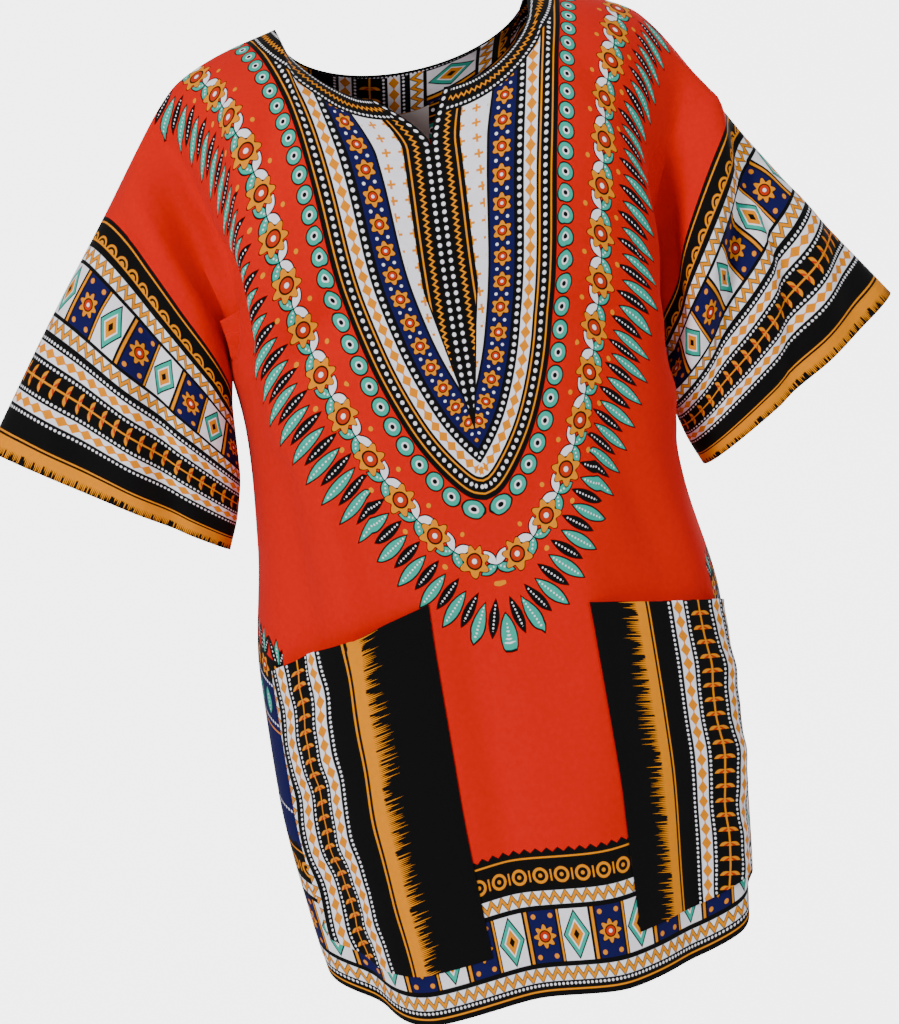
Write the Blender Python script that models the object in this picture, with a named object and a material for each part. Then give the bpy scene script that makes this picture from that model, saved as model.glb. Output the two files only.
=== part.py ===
"""A dashiki tunic with short kimono sleeves, as it hangs on its wearer.

The front and the back are each cut in one piece with their halves of the sleeves and
sewn along the shoulders, the sleeves' undersides and the sides, down to a slit. Two patch
pockets lie on the front, and a facing and a bare label line the back of the neck.

X is across, Y runs from the front (-) to the back (+), Z is up. The origin is midway
between the two points where the shoulder seams meet the neckline.
"""

import math

import bmesh
import bpy
import numpy as np

CM = 0.01  # every size below is in centimetres

COLLECTION = "dashiki_tunic"
FRONT, BACK = -1, 1
LEFT, RIGHT = -1, 1

CLOTH = 0.15  # wall of the front and the back
POCKET_CLOTH = 0.12
FACING_CLOTH = 0.10
SEAM_GAP = 0.03

NECK_HALF_WIDTH = 10.1
NECK_DROP = {FRONT: 6.8, BACK: 4.6}
NECK_DEPTH = {FRONT: 7.0, BACK: 6.2}
NECK_SLIT = 4.2  # length of the cut below the front neckline
SLIT_OPENING = {LEFT: 4.0, RIGHT: 1.7}  # how far each flap falls aside

PANEL_HALF_WIDTH = 27.0  # from the centre line to a side seam, along the cloth
CUFF_ACROSS = 50.5  # from the centre line to a sleeve's hem, along the cloth
ARMPIT_Z = -25.0
SIDE_SLIT_Z = -60.0
SWAY = 1.2  # how far the body hangs aside of the neck, towards the left
SWAY_DROP = 22.0  # how far below the neck it is all there
HEM_Z = {FRONT: -77.2, BACK: -78.0}
HEM_CORNER_LIFT = 4.0
HEM_SLIT_OPENING = 0.05  # share of a panel's half that draws back from the side at the hem

POCKET_INNER = {LEFT: 6.2, RIGHT: 6.9}
POCKET_OUTER = {LEFT: 21.7, RIGHT: 22.9}
POCKET_TOP_Z = {LEFT: -45.4, RIGHT: -47.4}
POCKET_TOP_FALL = {LEFT: 3.8, RIGHT: 3.0}  # how much lower the mouth is at its outer end
POCKET_ABOVE_HEM = 4.0
POCKET_GAPE = 0.95  # how far the mouth stands off the front
POCKET_REST = 0.04  # how far the sewn edges lie off the front

LINING_GAP = 0.06
LABEL_HALF_WIDTH = 2.3
LABEL_START, LABEL_END = 0.158, 0.305  # shares of the way from the neckline to the armpit's level

# Where the shoulder and the top of the sleeve run, by the distance along the seam.
SHOULDER_LINE = {
    "across": (10.1, 15.6, 19.7, 22.0, 24.0, 31.7, 39.7, 50.5),
    "x": (10.1, 14.6, 18.3, 19.9, 21.1, 25.4, 30.1, 36.7),
    "z": (0.0, -1.2, -2.9, -4.5, -6.1, -12.6, -19.3, -28.6),
}

# Where the seam under the sleeve runs, from the armpit to the sleeve's hem.
UNDERSIDE_LINE = {
    "across": (27.0, 33.0, 39.0, 45.0, 50.5),
    "x": (17.5, 17.5, 17.6, 18.3, 19.4),
    "z": (-25.0, -29.6, -33.5, -36.9, -39.7),
}

# The torso's level rings. square is the exponent of the ring's superellipse.
TORSO = {
    "z": (-80.0, -70.0, -60.0, -50.0, -40.0, -31.0, -25.0),
    "half_width": (16.8, 18.2, 19.0, 18.8, 17.2, 16.5, 17.0),
    "front_depth": (13.4, 13.0, 12.4, 11.8, 11.6, 11.9, 11.6),
    "back_depth": (12.6, 12.0, 10.8, 9.8, 9.9, 10.8, 11.0),
    "square": (2.3, 2.3, 2.3, 2.5, 2.8, 3.1, 3.2),
}

# How each section of a panel bellies between the shoulder line and the armpit's level.
# swell stands out, tuck draws in towards the body, and sleeve is 0 on a section of the
# body, which hangs on downwards, and 1 on a section of the sleeve, which closes below.
SECTIONS = {
    (FRONT, LEFT): {
        "across": (0.0, 10.1, 15.5, 18.5, 22.0, 26.0, 30.0, 36.0, 43.0, 50.5),
        "swell": (0.2, 0.8, 1.6, 1.7, 2.4, 3.6, 4.8, 5.2, 4.8, 4.3),
        "tuck": (0.0, 0.0, 0.1, 0.7, 1.5, 1.8, 1.2, 0.5, 0.1, 0.0),
        "sleeve": (0.0, 0.0, 0.0, 0.1, 0.4, 0.9, 1.0, 1.0, 1.0, 1.0),
    },
    (FRONT, RIGHT): {
        "across": (0.0, 10.1, 15.5, 19.5, 23.5, 27.5, 31.0, 36.0, 43.0, 50.5),
        "swell": (0.2, 0.8, 1.2, 1.8, 3.2, 3.8, 4.8, 5.3, 4.8, 4.3),
        "tuck": (0.0, 0.0, 0.0, 0.2, 0.7, 1.2, 0.9, 0.4, 0.1, 0.0),
        "sleeve": (0.0, 0.0, 0.0, 0.2, 0.6, 1.0, 1.0, 1.0, 1.0, 1.0),
    },
    (BACK, LEFT): {
        "across": (0.0, 10.1, 16.5, 20.5, 24.0, 27.5, 31.5, 38.0, 50.5),
        "swell": (0.8, 1.4, 1.7, 2.0, 2.9, 3.6, 4.5, 5.0, 4.2),
        "tuck": (0.0, 0.0, 0.1, 0.7, 1.4, 1.6, 0.7, 0.1, 0.0),
        "sleeve": (0.0, 0.0, 0.0, 0.2, 0.6, 1.0, 1.0, 1.0, 1.0),
    },
    (BACK, RIGHT): {
        "across": (0.0, 10.1, 16.5, 20.5, 24.0, 27.5, 31.5, 38.0, 50.5),
        "swell": (0.8, 1.4, 1.6, 2.1, 3.0, 3.7, 4.5, 5.0, 4.2),
        "tuck": (0.0, 0.0, 0.1, 0.6, 1.2, 1.5, 0.7, 0.1, 0.0),
        "sleeve": (0.0, 0.0, 0.0, 0.2, 0.6, 1.0, 1.0, 1.0, 1.0),
    },
}

# The largest folds, each along a line in the front view. A depth above 0 is a ridge that
# stands out of the panel, one below 0 a trough, given at the line's start and end.
FOLD_COLUMNS = ("x0", "z0", "x1", "z1", "width", "depth0", "depth1")
FOLDS = {
    FRONT: (
        (-15.4, -7.0, -15.8, -18.0, 1.9, 0.2, 0.8),
        (-15.8, -18.0, -15.2, -31.0, 1.9, 0.8, 0.7),
        (-18.6, -7.0, -18.2, -15.0, 1.8, -0.4, -1.1),
        (-18.2, -15.0, -17.6, -21.5, 1.7, -1.1, -0.6),
        (-21.6, -11.0, -21.4, -22.0, 1.9, 0.2, 0.8),
        (-24.2, -19.0, -24.6, -34.0, 1.8, -0.4, -1.3),
        (-27.4, -23.0, -27.6, -33.5, 2.0, 0.4, 0.8),
        (23.4, -8.0, 22.4, -16.5, 1.9, 0.1, 0.8),
        (22.4, -16.5, 18.4, -27.0, 1.9, 0.8, 0.5),
        (25.4, -16.0, 25.2, -34.0, 1.8, -0.4, -1.3),
        (28.4, -21.0, 28.2, -32.5, 2.0, 0.4, 0.8),
        (17.2, -19.0, 16.6, -30.0, 1.8, -0.6, -0.9),
        (14.2, -20.0, 14.6, -33.0, 2.0, 0.4, 0.6),
        (-13.4, -33.0, -13.0, -46.0, 2.6, 0.4, 0.3),
        (8.5, -31.0, 11.5, -46.0, 2.8, -0.3, -0.5),
    ),
    BACK: (
        (-13.0, -12.0, -11.0, -34.0, 2.6, 0.2, 0.9),
        (-8.0, -20.0, -7.0, -44.0, 2.6, -0.3, -0.8),
        (12.0, -13.0, 10.0, -38.0, 2.8, 0.3, 0.9),
        (6.0, -24.0, 5.0, -50.0, 2.8, -0.2, -0.8),
        (-17.8, -9.0, -17.4, -21.0, 1.9, -0.3, -0.9),
        (17.6, -9.0, 17.4, -21.0, 1.9, -0.3, -0.9),
        (-24.8, -20.0, -25.0, -35.0, 1.8, -0.4, -1.2),
        (-27.8, -22.0, -27.8, -33.0, 2.0, 0.4, 0.8),
        (24.2, -19.0, 24.8, -35.0, 1.8, -0.4, -1.2),
        (27.4, -22.0, 27.6, -33.0, 2.0, 0.4, 0.8),
    ),
}

# Soft flutes that deepen towards the hem, by their place across the panel.
FLUTES = {
    FRONT: {
        "across": (-23.0, -18.5, -13.5, -2.5, 4.5, 12.5, 18.0, 23.0),
        "width": (2.2, 2.0, 2.6, 2.6, 2.4, 2.6, 2.2, 2.2),
        "depth": (0.5, -0.7, 0.5, -0.4, 0.4, -0.6, 0.8, -0.5),
    },
    BACK: {
        "across": (-22.0, -16.0, -9.5, -2.0, 5.5, 12.0, 17.5, 23.0),
        "width": (2.4, 2.4, 2.8, 2.8, 2.6, 2.6, 2.4, 2.2),
        "depth": (-0.6, 0.9, -0.9, 0.8, -0.8, 0.9, -0.8, 0.5),
    },
}
FLUTE_TOP_Z = -34.0

# How unevenly the hem hangs.
HEM_SAG = {
    "x": (-27.0, -13.0, -3.0, 5.0, 13.0, 27.0),
    "lift": (0.0, -0.6, 0.3, -0.2, 0.4, 0.4),
}

COLUMN_STEP = 1.7
SLIT_ROWS = 3
FACING_ROWS = 3  # the rows from the neckline to the facing's foot
UPPER_ROWS = 11  # below the neck slit's foot, down to the armpit's level
LOWER_ROWS = 19
POCKET_ROWS = 12

RING_LEVELS = np.linspace(-84.0, ARMPIT_Z, 119)
RING_SHARES = np.linspace(0, 1, 61)
SLIT_FOOT = NECK_SLIT / (-ARMPIT_Z - NECK_DROP[FRONT])  # how far down the middle column
LAST_UPPER_ROW = SLIT_ROWS + UPPER_ROWS


def smooth_lookup(table, column, at, by):
    """A column of a table at any place, on a curve with no overshoot through its rows."""
    places = np.array(table[by])
    values = np.array(table[column])
    slopes = np.diff(values) / np.diff(places)
    before, after = slopes[:-1], slopes[1:]
    same_way = before * after > 0
    sums = np.where(same_way, before + after, 1)
    middle = np.where(same_way, 2 * before * after / sums, 0)
    tangents = np.concatenate([slopes[:1], middle, slopes[-1:]])
    at = np.clip(at, places[0], places[-1])
    row = np.clip(np.searchsorted(places, at, side="right") - 1, 0, len(slopes) - 1)
    width = places[row + 1] - places[row]
    u = (at - places[row]) / width
    return (
        values[row] * (1 + 2 * u) * (1 - u) ** 2
        + tangents[row] * width * u * (1 - u) ** 2
        + values[row + 1] * u**2 * (3 - 2 * u)
        - tangents[row + 1] * width * u**2 * (1 - u)
    )


def smooth_step(value):
    value = np.clip(value, 0, 1)
    return value * value * (3 - 2 * value)


def grid_lookup(grid, rows, columns, at_row, at_column):
    """A grid's value between its rows and columns."""
    i = np.clip(np.searchsorted(rows, at_row, side="right") - 1, 0, len(rows) - 2)
    j = np.clip(np.searchsorted(columns, at_column, side="right") - 1, 0, len(columns) - 2)
    u = (at_row - rows[i]) / (rows[i + 1] - rows[i])
    v = (at_column - columns[j]) / (columns[j + 1] - columns[j])
    if grid.ndim == 3:
        u, v = u[..., None], v[..., None]
    near = grid[i, j] * (1 - v) + grid[i, j + 1] * v
    far = grid[i + 1, j] * (1 - v) + grid[i + 1, j + 1] * v
    return near * (1 - u) + far * u


def ring_grid(depth_column):
    """The torso's level rings, by height and by the share of a ring's quarter passed."""
    turn = np.linspace(0, math.pi / 2, 61)
    grid = np.zeros((len(RING_LEVELS), len(RING_SHARES), 2))
    for level, z in enumerate(RING_LEVELS):
        power = 2 / smooth_lookup(TORSO, "square", z, "z")
        xs = smooth_lookup(TORSO, "half_width", z, "z") * np.sin(turn) ** power
        ys = smooth_lookup(TORSO, depth_column, z, "z") * np.clip(np.cos(turn), 0, 1) ** power
        passed = np.concatenate([[0], np.cumsum(np.hypot(np.diff(xs), np.diff(ys)))])
        grid[level, :, 0] = np.interp(RING_SHARES * passed[-1], passed, xs)
        grid[level, :, 1] = np.interp(RING_SHARES * passed[-1], passed, ys)
    return grid


RINGS = {FRONT: ring_grid("front_depth"), BACK: ring_grid("back_depth")}


def ring_points(face, side, distance, z):
    """Points of the torso at these distances from the centre line, along the cloth."""
    opening = smooth_step((SIDE_SLIT_Z - z) / (SIDE_SLIT_Z - HEM_Z[face]))
    share = distance / PANEL_HALF_WIDTH * (1 - HEM_SLIT_OPENING * opening)
    xy = grid_lookup(RINGS[face], RING_LEVELS, RING_SHARES, z, np.clip(share, 0, 1))
    return np.stack([side * xy[..., 0], face * xy[..., 1], z], axis=-1)


def hem_height(face, side, distance):
    corner = HEM_CORNER_LIFT * smooth_step((distance - 11) / 16) ** 1.3
    sag = smooth_lookup(HEM_SAG, "lift", -face * side * distance, "x")
    return HEM_Z[face] + corner + sag


def top_points(face, side, distance):
    """The neckline in the middle, and the shoulder seam and the sleeve's top beyond it."""
    fall = np.sqrt(np.clip(1 - (distance / NECK_HALF_WIDTH) ** 2, 0, 1))
    in_neck = distance < NECK_HALF_WIDTH
    seam_x = smooth_lookup(SHOULDER_LINE, "x", distance, "across")
    seam_z = smooth_lookup(SHOULDER_LINE, "z", distance, "across")
    x = side * np.where(in_neck, distance, seam_x)
    z = np.where(in_neck, -NECK_DROP[face] * fall, seam_z)
    return np.stack([x, face * NECK_DEPTH[face] * fall, z], axis=-1)


def upper_points(face, side, distance, down):
    """Points between the shoulder line (down = 0) and the armpit's level (down = 1)."""
    table = SECTIONS[face, side]
    swell = smooth_lookup(table, "swell", distance, "across")
    tuck = smooth_lookup(table, "tuck", distance, "across")
    sleeve = smooth_lookup(table, "sleeve", distance, "across")
    top = top_points(face, side, distance)
    on_body = distance <= PANEL_HALF_WIDTH
    level = np.full_like(distance, ARMPIT_Z)
    foot_of_body = ring_points(face, side, np.minimum(distance, PANEL_HALF_WIDTH), level)
    foot_x = smooth_lookup(UNDERSIDE_LINE, "x", distance, "across")
    foot_z = smooth_lookup(UNDERSIDE_LINE, "z", distance, "across")
    foot_of_sleeve = np.stack([side * foot_x, 0 * foot_x, foot_z], axis=-1)
    foot = np.where(on_body[..., None], foot_of_body, foot_of_sleeve)
    lean = 1 + 0.35 * smooth_step(distance / NECK_HALF_WIDTH)
    round_fall = (1 - np.cos(math.pi * down)) / 2
    fall = down**lean * (1 - sleeve) + round_fall * sleeve
    forward = (1 - (1 - down) ** 2.6) * (1 - sleeve) + round_fall * sleeve
    belly = np.sin(math.pi * down) ** (1.0 - 0.15 * sleeve)
    x = top[..., 0] + (foot[..., 0] - top[..., 0]) * fall - side * tuck * belly
    y = top[..., 1] + (foot[..., 1] - top[..., 1]) * forward + face * swell * belly
    z = top[..., 2] + (foot[..., 2] - top[..., 2]) * fall
    return np.stack([x, y, z], axis=-1)


def smooth_points(face, side, distance, down):
    """Points of a panel without its folds. Below the armpit's level, down runs on to 2."""
    upper = upper_points(face, side, distance, np.clip(down, 0, 1))
    z = ARMPIT_Z + (hem_height(face, side, distance) - ARMPIT_Z) * (down - 1)
    body = np.minimum(distance, PANEL_HALF_WIDTH)
    lower = ring_points(face, side, body, np.minimum(z, ARMPIT_Z))
    points = np.where((down > 1)[..., None], lower, upper)
    points[..., 0] -= SWAY * smooth_step(-points[..., 2] / SWAY_DROP)
    return points


def fold_depths(face, side, distance, points):
    """How far the folds and flutes move a panel's points out (+) or in (-)."""
    x, z = points[..., 0], points[..., 2]
    depths = np.zeros_like(x)
    for row in FOLDS[face]:
        fold = dict(zip(FOLD_COLUMNS, row))
        run_x, run_z = fold["x1"] - fold["x0"], fold["z1"] - fold["z0"]
        away_x, away_z = x - fold["x0"], z - fold["z0"]
        along = np.clip((away_x * run_x + away_z * run_z) / (run_x**2 + run_z**2), 0, 1)
        off = np.hypot(away_x - run_x * along, away_z - run_z * along) / fold["width"]
        size = fold["depth0"] + (fold["depth1"] - fold["depth0"]) * along
        depths += size * np.exp(-(off**2))
    grown = smooth_step((FLUTE_TOP_Z - z) / (FLUTE_TOP_Z - HEM_Z[face]))
    grown = grown * (distance <= PANEL_HALF_WIDTH)
    flutes = FLUTES[face]
    for middle, width, size in zip(flutes["across"], flutes["width"], flutes["depth"]):
        depths += grown * size * np.exp(-(((side * distance - middle) / width) ** 2))
    return depths


def seam_calm(distance, down):
    """0 on a panel's sewn edges and neckline and 1 away from them, so that edges meet."""
    beside = smooth_step(abs(PANEL_HALF_WIDTH - distance) / 2.5)
    on_body = distance <= PANEL_HALF_WIDTH
    above = np.where(on_body, 1.0, smooth_step((1 - down) / 0.12))
    from_foot = np.maximum(beside * above, np.clip(1 - down, 0, 1))
    return smooth_step(down / 0.12) * from_foot


def slit_shift(side, distance, z):
    """How far the neck slit's flaps fall aside."""
    foot_z = -NECK_DROP[FRONT] - NECK_SLIT
    spread = np.clip((z - foot_z) / NECK_SLIT, 0, 1) ** 1.4
    return side * SLIT_OPENING[side] * spread * np.clip(1 - distance / 9.0, 0, 1) ** 1.6


def panel_points(face, side, distance, down):
    """Points of a panel's outer face with its folds."""
    points = smooth_points(face, side, distance, down)
    outward = np.minimum(distance + 0.4, CUFF_ACROSS)
    on_body = (distance <= PANEL_HALF_WIDTH) & (down > 1)
    outward = np.where(on_body, np.minimum(outward, PANEL_HALF_WIDTH), outward)
    inward = np.maximum(distance - 0.4, 0)
    beside = smooth_points(face, side, outward, down) - smooth_points(face, side, inward, down)
    lower = np.clip(down + 0.02, 0, 2)
    upper = np.clip(down - 0.02, 0, 2)
    below = smooth_points(face, side, distance, lower) - smooth_points(face, side, distance, upper)
    normals = np.cross(beside, below)
    normals /= np.linalg.norm(normals, axis=-1, keepdims=True) + 1e-9
    normals *= np.where(normals[..., 1:2] * face < 0, -1, 1)
    depths = fold_depths(face, side, distance, points) * seam_calm(distance, down)
    points = points + normals * depths[..., None]
    if face == FRONT:
        points[..., 0] += slit_shift(side, distance, points[..., 2])
    return points


def column_places():
    """The columns' distances from the centre line, out to the sleeve's hem."""
    stops = (0.0, 5.0, NECK_HALF_WIDTH, PANEL_HALF_WIDTH, CUFF_ACROSS)
    places = [0.0]
    for start, end in zip(stops, stops[1:]):
        count = max(1, round((end - start) / COLUMN_STEP))
        places += list(np.linspace(start, end, count + 1)[1:])
    return np.array(places)


def row_places():
    slit = np.linspace(0, SLIT_FOOT, SLIT_ROWS + 1)
    upper = np.linspace(SLIT_FOOT, 1, UPPER_ROWS + 1)[1:]
    lower = np.linspace(1, 2, LOWER_ROWS + 1)[1:]
    return np.concatenate([slit, upper, lower])


COLUMNS = column_places()
ROWS = row_places()
SIDE_COLUMN = int(np.argmin(abs(COLUMNS - PANEL_HALF_WIDTH)))


def panel_grid(face, side):
    """A panel's half as a grid of points by column and row."""
    distance, down = np.meshgrid(COLUMNS, ROWS, indexing="ij")
    return panel_points(face, side, distance, down)


def sheet_of(face):
    """A panel's open sheet: its points, which point each (side, column, row) is, its quads."""
    points, index, quads = [], {}, []
    for side in (LEFT, RIGHT):
        grid = panel_grid(face, side)
        for column in range(len(COLUMNS)):
            last_row = len(ROWS) - 1 if column <= SIDE_COLUMN else LAST_UPPER_ROW
            for row in range(last_row + 1):
                in_one = column == 0 and (face == BACK or row >= SLIT_ROWS)
                if side == RIGHT and in_one:
                    index[side, column, row] = index[LEFT, 0, row]
                    continue
                index[side, column, row] = len(points)
                points.append(grid[column, row])
        for column in range(len(COLUMNS) - 1):
            last_row = len(ROWS) - 1 if column < SIDE_COLUMN else LAST_UPPER_ROW
            for row in range(last_row):
                corners = ((0, 0), (1, 0), (1, 1), (0, 1))
                quad = [index[side, column + i, row + j] for i, j in corners]
                quads.append(quad if face * side > 0 else quad[::-1])
    return np.array(points), index, quads


def point_normals(points, quads):
    quads = np.array(quads)
    corners = points[quads]
    face_normals = np.cross(corners[:, 2] - corners[:, 0], corners[:, 3] - corners[:, 1])
    normals = np.zeros_like(points)
    for corner in range(4):
        np.add.at(normals, quads[:, corner], face_normals)
    return normals / np.linalg.norm(normals, axis=1, keepdims=True)


def walled(outer, inner, quads):
    """A closed wall between two sheets of the same quads, as a bmesh in metres."""
    mesh = bmesh.new()
    outside = [mesh.verts.new(point * CM) for point in outer]
    inside = [mesh.verts.new(point * CM) for point in inner]
    used = set()
    for quad in quads:
        mesh.faces.new([outside[corner] for corner in quad])
        mesh.faces.new([inside[corner] for corner in reversed(quad)])
        used.update(zip(quad, quad[1:] + quad[:1]))
    for start, end in sorted(used):
        if (end, start) not in used:
            mesh.faces.new([outside[end], outside[start], inside[start], inside[end]])
    return mesh


def material_of(name, colour, roughness):
    material = bpy.data.materials.new(name)
    material.use_nodes = True
    shader = material.node_tree.nodes["Principled BSDF"]
    shader.inputs["Base Color"].default_value = (*colour, 1)
    shader.inputs["Roughness"].default_value = roughness
    shader.inputs["Metallic"].default_value = 0.0
    return material


def add_object(name, mesh, material, collection):
    """Turns a bmesh into a smooth-shaded object."""
    data = bpy.data.meshes.new(name)
    mesh.to_mesh(data)
    mesh.free()
    data.materials.append(material)
    data.shade_smooth()
    data.set_sharp_from_angle(angle=math.radians(50))
    obj = bpy.data.objects.new(name, data)
    collection.objects.link(obj)
    return obj


def panel(name, face, material, collection):
    """The front or the back, with its halves of both sleeves."""
    points, index, quads = sheet_of(face)
    normals = point_normals(points, quads)
    for (_, column, row), corner in index.items():
        on_shoulder = row == 0 and COLUMNS[column] >= NECK_HALF_WIDTH - 1e-6
        on_underside = row == LAST_UPPER_ROW and column >= SIDE_COLUMN
        on_side = column == SIDE_COLUMN and row > LAST_UPPER_ROW
        if on_shoulder or on_underside or on_side:
            points[corner][1] = face * max(face * points[corner][1], SEAM_GAP / 2)
            normals[corner][1] = 0
            normals[corner] /= np.linalg.norm(normals[corner])
    inner = points - normals * CLOTH
    return add_object(name, walled(points, inner, quads), material, collection)


def built_points(face, across, down):
    """Points of a panel's built sheet, which is flat between its columns and rows."""
    points = np.zeros((*across.shape, 3))
    for side in (LEFT, RIGHT):
        grid = panel_grid(face, side)
        found = grid_lookup(grid, COLUMNS, ROWS, abs(across), down)
        on_side = (across < 0) if side == LEFT else (across >= 0)
        points = np.where(on_side[..., None], found, points)
    return points


def patch_columns(start, end):
    """A patch's edges, and every column of the panel under it, so that both bend together."""
    under = sorted(set(COLUMNS) | set(-COLUMNS))
    between = [place for place in under if start + 0.3 < place < end - 0.3]
    return np.array([start] + between + [end])


def patch(name, points, face_of_grid, near_off, thickness, material, collection):
    """A wall that lies off a grid of points, towards the front (-1) or the back (1)."""
    normals = np.cross(np.gradient(points, axis=0), np.gradient(points, axis=1))
    normals /= np.linalg.norm(normals, axis=2, keepdims=True)
    if normals[points.shape[0] // 2, 0, 1] * face_of_grid < 0:
        normals = -normals
    near = points + normals * near_off[..., None]
    far = near + normals * thickness
    columns, rows = points.shape[:2]
    quads = [
        [i * rows + j, (i + 1) * rows + j, (i + 1) * rows + j + 1, i * rows + j + 1]
        for i in range(columns - 1)
        for j in range(rows - 1)
    ]
    mesh = walled(far.reshape(-1, 3), near.reshape(-1, 3), quads)
    bmesh.ops.recalc_face_normals(mesh, faces=mesh.faces)
    return add_object(name, mesh, material, collection)


def pocket(name, side, material, collection):
    """A patch pocket that wraps round towards the side seam, its mouth a little open."""
    distance = patch_columns(POCKET_INNER[side], POCKET_OUTER[side])
    column_share = (distance - distance[0]) / (distance[-1] - distance[0])
    top_z = POCKET_TOP_Z[side] - POCKET_TOP_FALL[side] * column_share
    hem_z = hem_height(FRONT, side, distance)
    foot_z = hem_z + POCKET_ABOVE_HEM
    row_share = np.linspace(0, 1, POCKET_ROWS + 1)
    z = top_z[:, None] + (foot_z - top_z)[:, None] * row_share
    down = 1 + (ARMPIT_Z - z) / (ARMPIT_Z - hem_z)[:, None]
    across = side * np.repeat(distance[:, None], len(row_share), axis=1)
    from_sides = np.sin(math.pi * column_share)[:, None] ** 0.8
    from_foot = smooth_step((1 - row_share) / 0.75)
    gape = POCKET_REST + (POCKET_GAPE - POCKET_REST) * from_sides * from_foot
    points = built_points(FRONT, across, down)
    return patch(name, points, FRONT, gape, POCKET_CLOTH, material, collection)


def lining(name, half_width, shares, material, collection):
    """A piece on the inside of the back, made from the back's points moved inwards."""
    places = patch_columns(-half_width, half_width)
    across, down = np.meshgrid(places, shares, indexing="ij")
    off = np.full(across.shape, CLOTH + LINING_GAP)
    points = built_points(BACK, across, down)
    return patch(name, points, FRONT, off, FACING_CLOTH, material, collection)


def clear_scene():
    for obj in list(bpy.data.objects):
        bpy.data.objects.remove(obj, do_unlink=True)


def main():
    clear_scene()
    collection = bpy.data.collections.new(COLLECTION)
    bpy.context.scene.collection.children.link(collection)
    orange = material_of("orange_cotton", (0.80, 0.07, 0.02), 0.75)
    border = material_of("border_cotton", (0.05, 0.045, 0.04), 0.75)
    pale = material_of("label_tape", (0.75, 0.74, 0.72), 0.7)
    panel("front", FRONT, orange, collection)
    panel("back", BACK, orange, collection)
    pocket("pocket_left", LEFT, border, collection)
    pocket("pocket_right", RIGHT, border, collection)
    facing_shares = np.concatenate([[0.012], ROWS[1:FACING_ROWS]])
    lining("neck_facing", NECK_HALF_WIDTH - 0.9, facing_shares, border, collection)
    label_shares = np.linspace(LABEL_START, LABEL_END, 4)
    lining("label", LABEL_HALF_WIDTH, label_shares, pale, collection)


main()
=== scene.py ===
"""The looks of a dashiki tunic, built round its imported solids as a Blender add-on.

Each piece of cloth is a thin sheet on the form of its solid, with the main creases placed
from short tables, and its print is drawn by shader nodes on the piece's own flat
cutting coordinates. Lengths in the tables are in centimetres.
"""

import math
from functools import partial

import bpy
import numpy as np
from mathutils import Matrix, Vector


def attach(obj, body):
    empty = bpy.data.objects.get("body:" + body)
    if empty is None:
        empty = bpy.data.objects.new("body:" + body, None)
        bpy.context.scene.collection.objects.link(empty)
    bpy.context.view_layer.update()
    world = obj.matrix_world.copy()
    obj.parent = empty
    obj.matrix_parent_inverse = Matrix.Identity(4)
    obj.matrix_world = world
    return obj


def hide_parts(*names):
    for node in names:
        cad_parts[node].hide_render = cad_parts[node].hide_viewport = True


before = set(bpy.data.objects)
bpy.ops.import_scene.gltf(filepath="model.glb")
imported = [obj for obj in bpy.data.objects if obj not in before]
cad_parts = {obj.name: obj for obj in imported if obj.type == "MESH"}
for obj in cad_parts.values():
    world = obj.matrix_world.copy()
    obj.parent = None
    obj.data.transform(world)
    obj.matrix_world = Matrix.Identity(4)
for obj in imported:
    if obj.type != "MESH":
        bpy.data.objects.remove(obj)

bl_info = {
    "name": "Dashiki tunic",
    "version": (1, 0, 0),
    "blender": (4, 5, 0),
    "location": "3D View > Sidebar > Tunic",
    "description": "Builds a printed cotton tunic's cloth, print and studio",
    "category": "Object",
}

CM = 0.01
FRONT, BACK = -1, 1
LEFT, RIGHT = -1, 1

NECK_HALF_WIDTH = 10.1
NECK_DROP = {FRONT: 6.8, BACK: 4.6}
NECK_DEPTH = {FRONT: 7.0, BACK: 6.2}
NECK_CUT_DROP = {FRONT: 9.8, BACK: 7.7}  # the neckline's fall in the flat cut
NECK_SLIT = 4.2
SLIT_OPENING = {LEFT: 4.0, RIGHT: 1.7}

PANEL_HALF_WIDTH = 27.0
CUFF_ACROSS = 50.5
ARMPIT_Z = -25.0
SIDE_SLIT_Z = -60.0
SWAY = 1.2  # how far the body hangs aside of the neck, towards the left
SWAY_DROP = 22.0  # how far below the neck it is all there
HEM_Z = {FRONT: -77.2, BACK: -78.0}
HEM_CORNER_LIFT = 4.0
HEM_SLIT_OPENING = 0.05
SEAM_GAP = 0.004  # the sheets all but meet, so that no light shows between them
SEAM_CALM = 2.5  # how near a side seam the folds begin to die away
EDGE_CALM = 0.12  # the same near the shoulder and the seam under the sleeve, as a share
NO_HEM = 90.0  # stands for the distance from the hem on a sleeve, which has none

POCKET_INNER = {LEFT: 6.2, RIGHT: 6.9}
POCKET_OUTER = {LEFT: 21.7, RIGHT: 22.9}
POCKET_TOP_Z = {LEFT: -45.4, RIGHT: -47.4}
POCKET_TOP_FALL = {LEFT: 3.8, RIGHT: 3.0}
POCKET_ABOVE_HEM = 4.0
POCKET_GAPE = 0.95
POCKET_REST = 0.04
POCKET_BLACK = {LEFT: 5.2, RIGHT: 3.0}  # how far in from its inner edge the border starts

FACING_HALF_WIDTH = NECK_HALF_WIDTH - 0.9
LABEL_HALF_WIDTH = 2.3
LABEL_GRID = 0.3
LINING_ROWS = 12
LINING_GAP = 0.03  # between the back's inner face and the pieces on it
LABEL_START, LABEL_END = 0.158, 0.305
SLIT_FOOT = NECK_SLIT / (-ARMPIT_Z - NECK_DROP[FRONT])
FACING_START, FACING_FOOT = 0.012, SLIT_FOOT * 2 / 3

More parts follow.
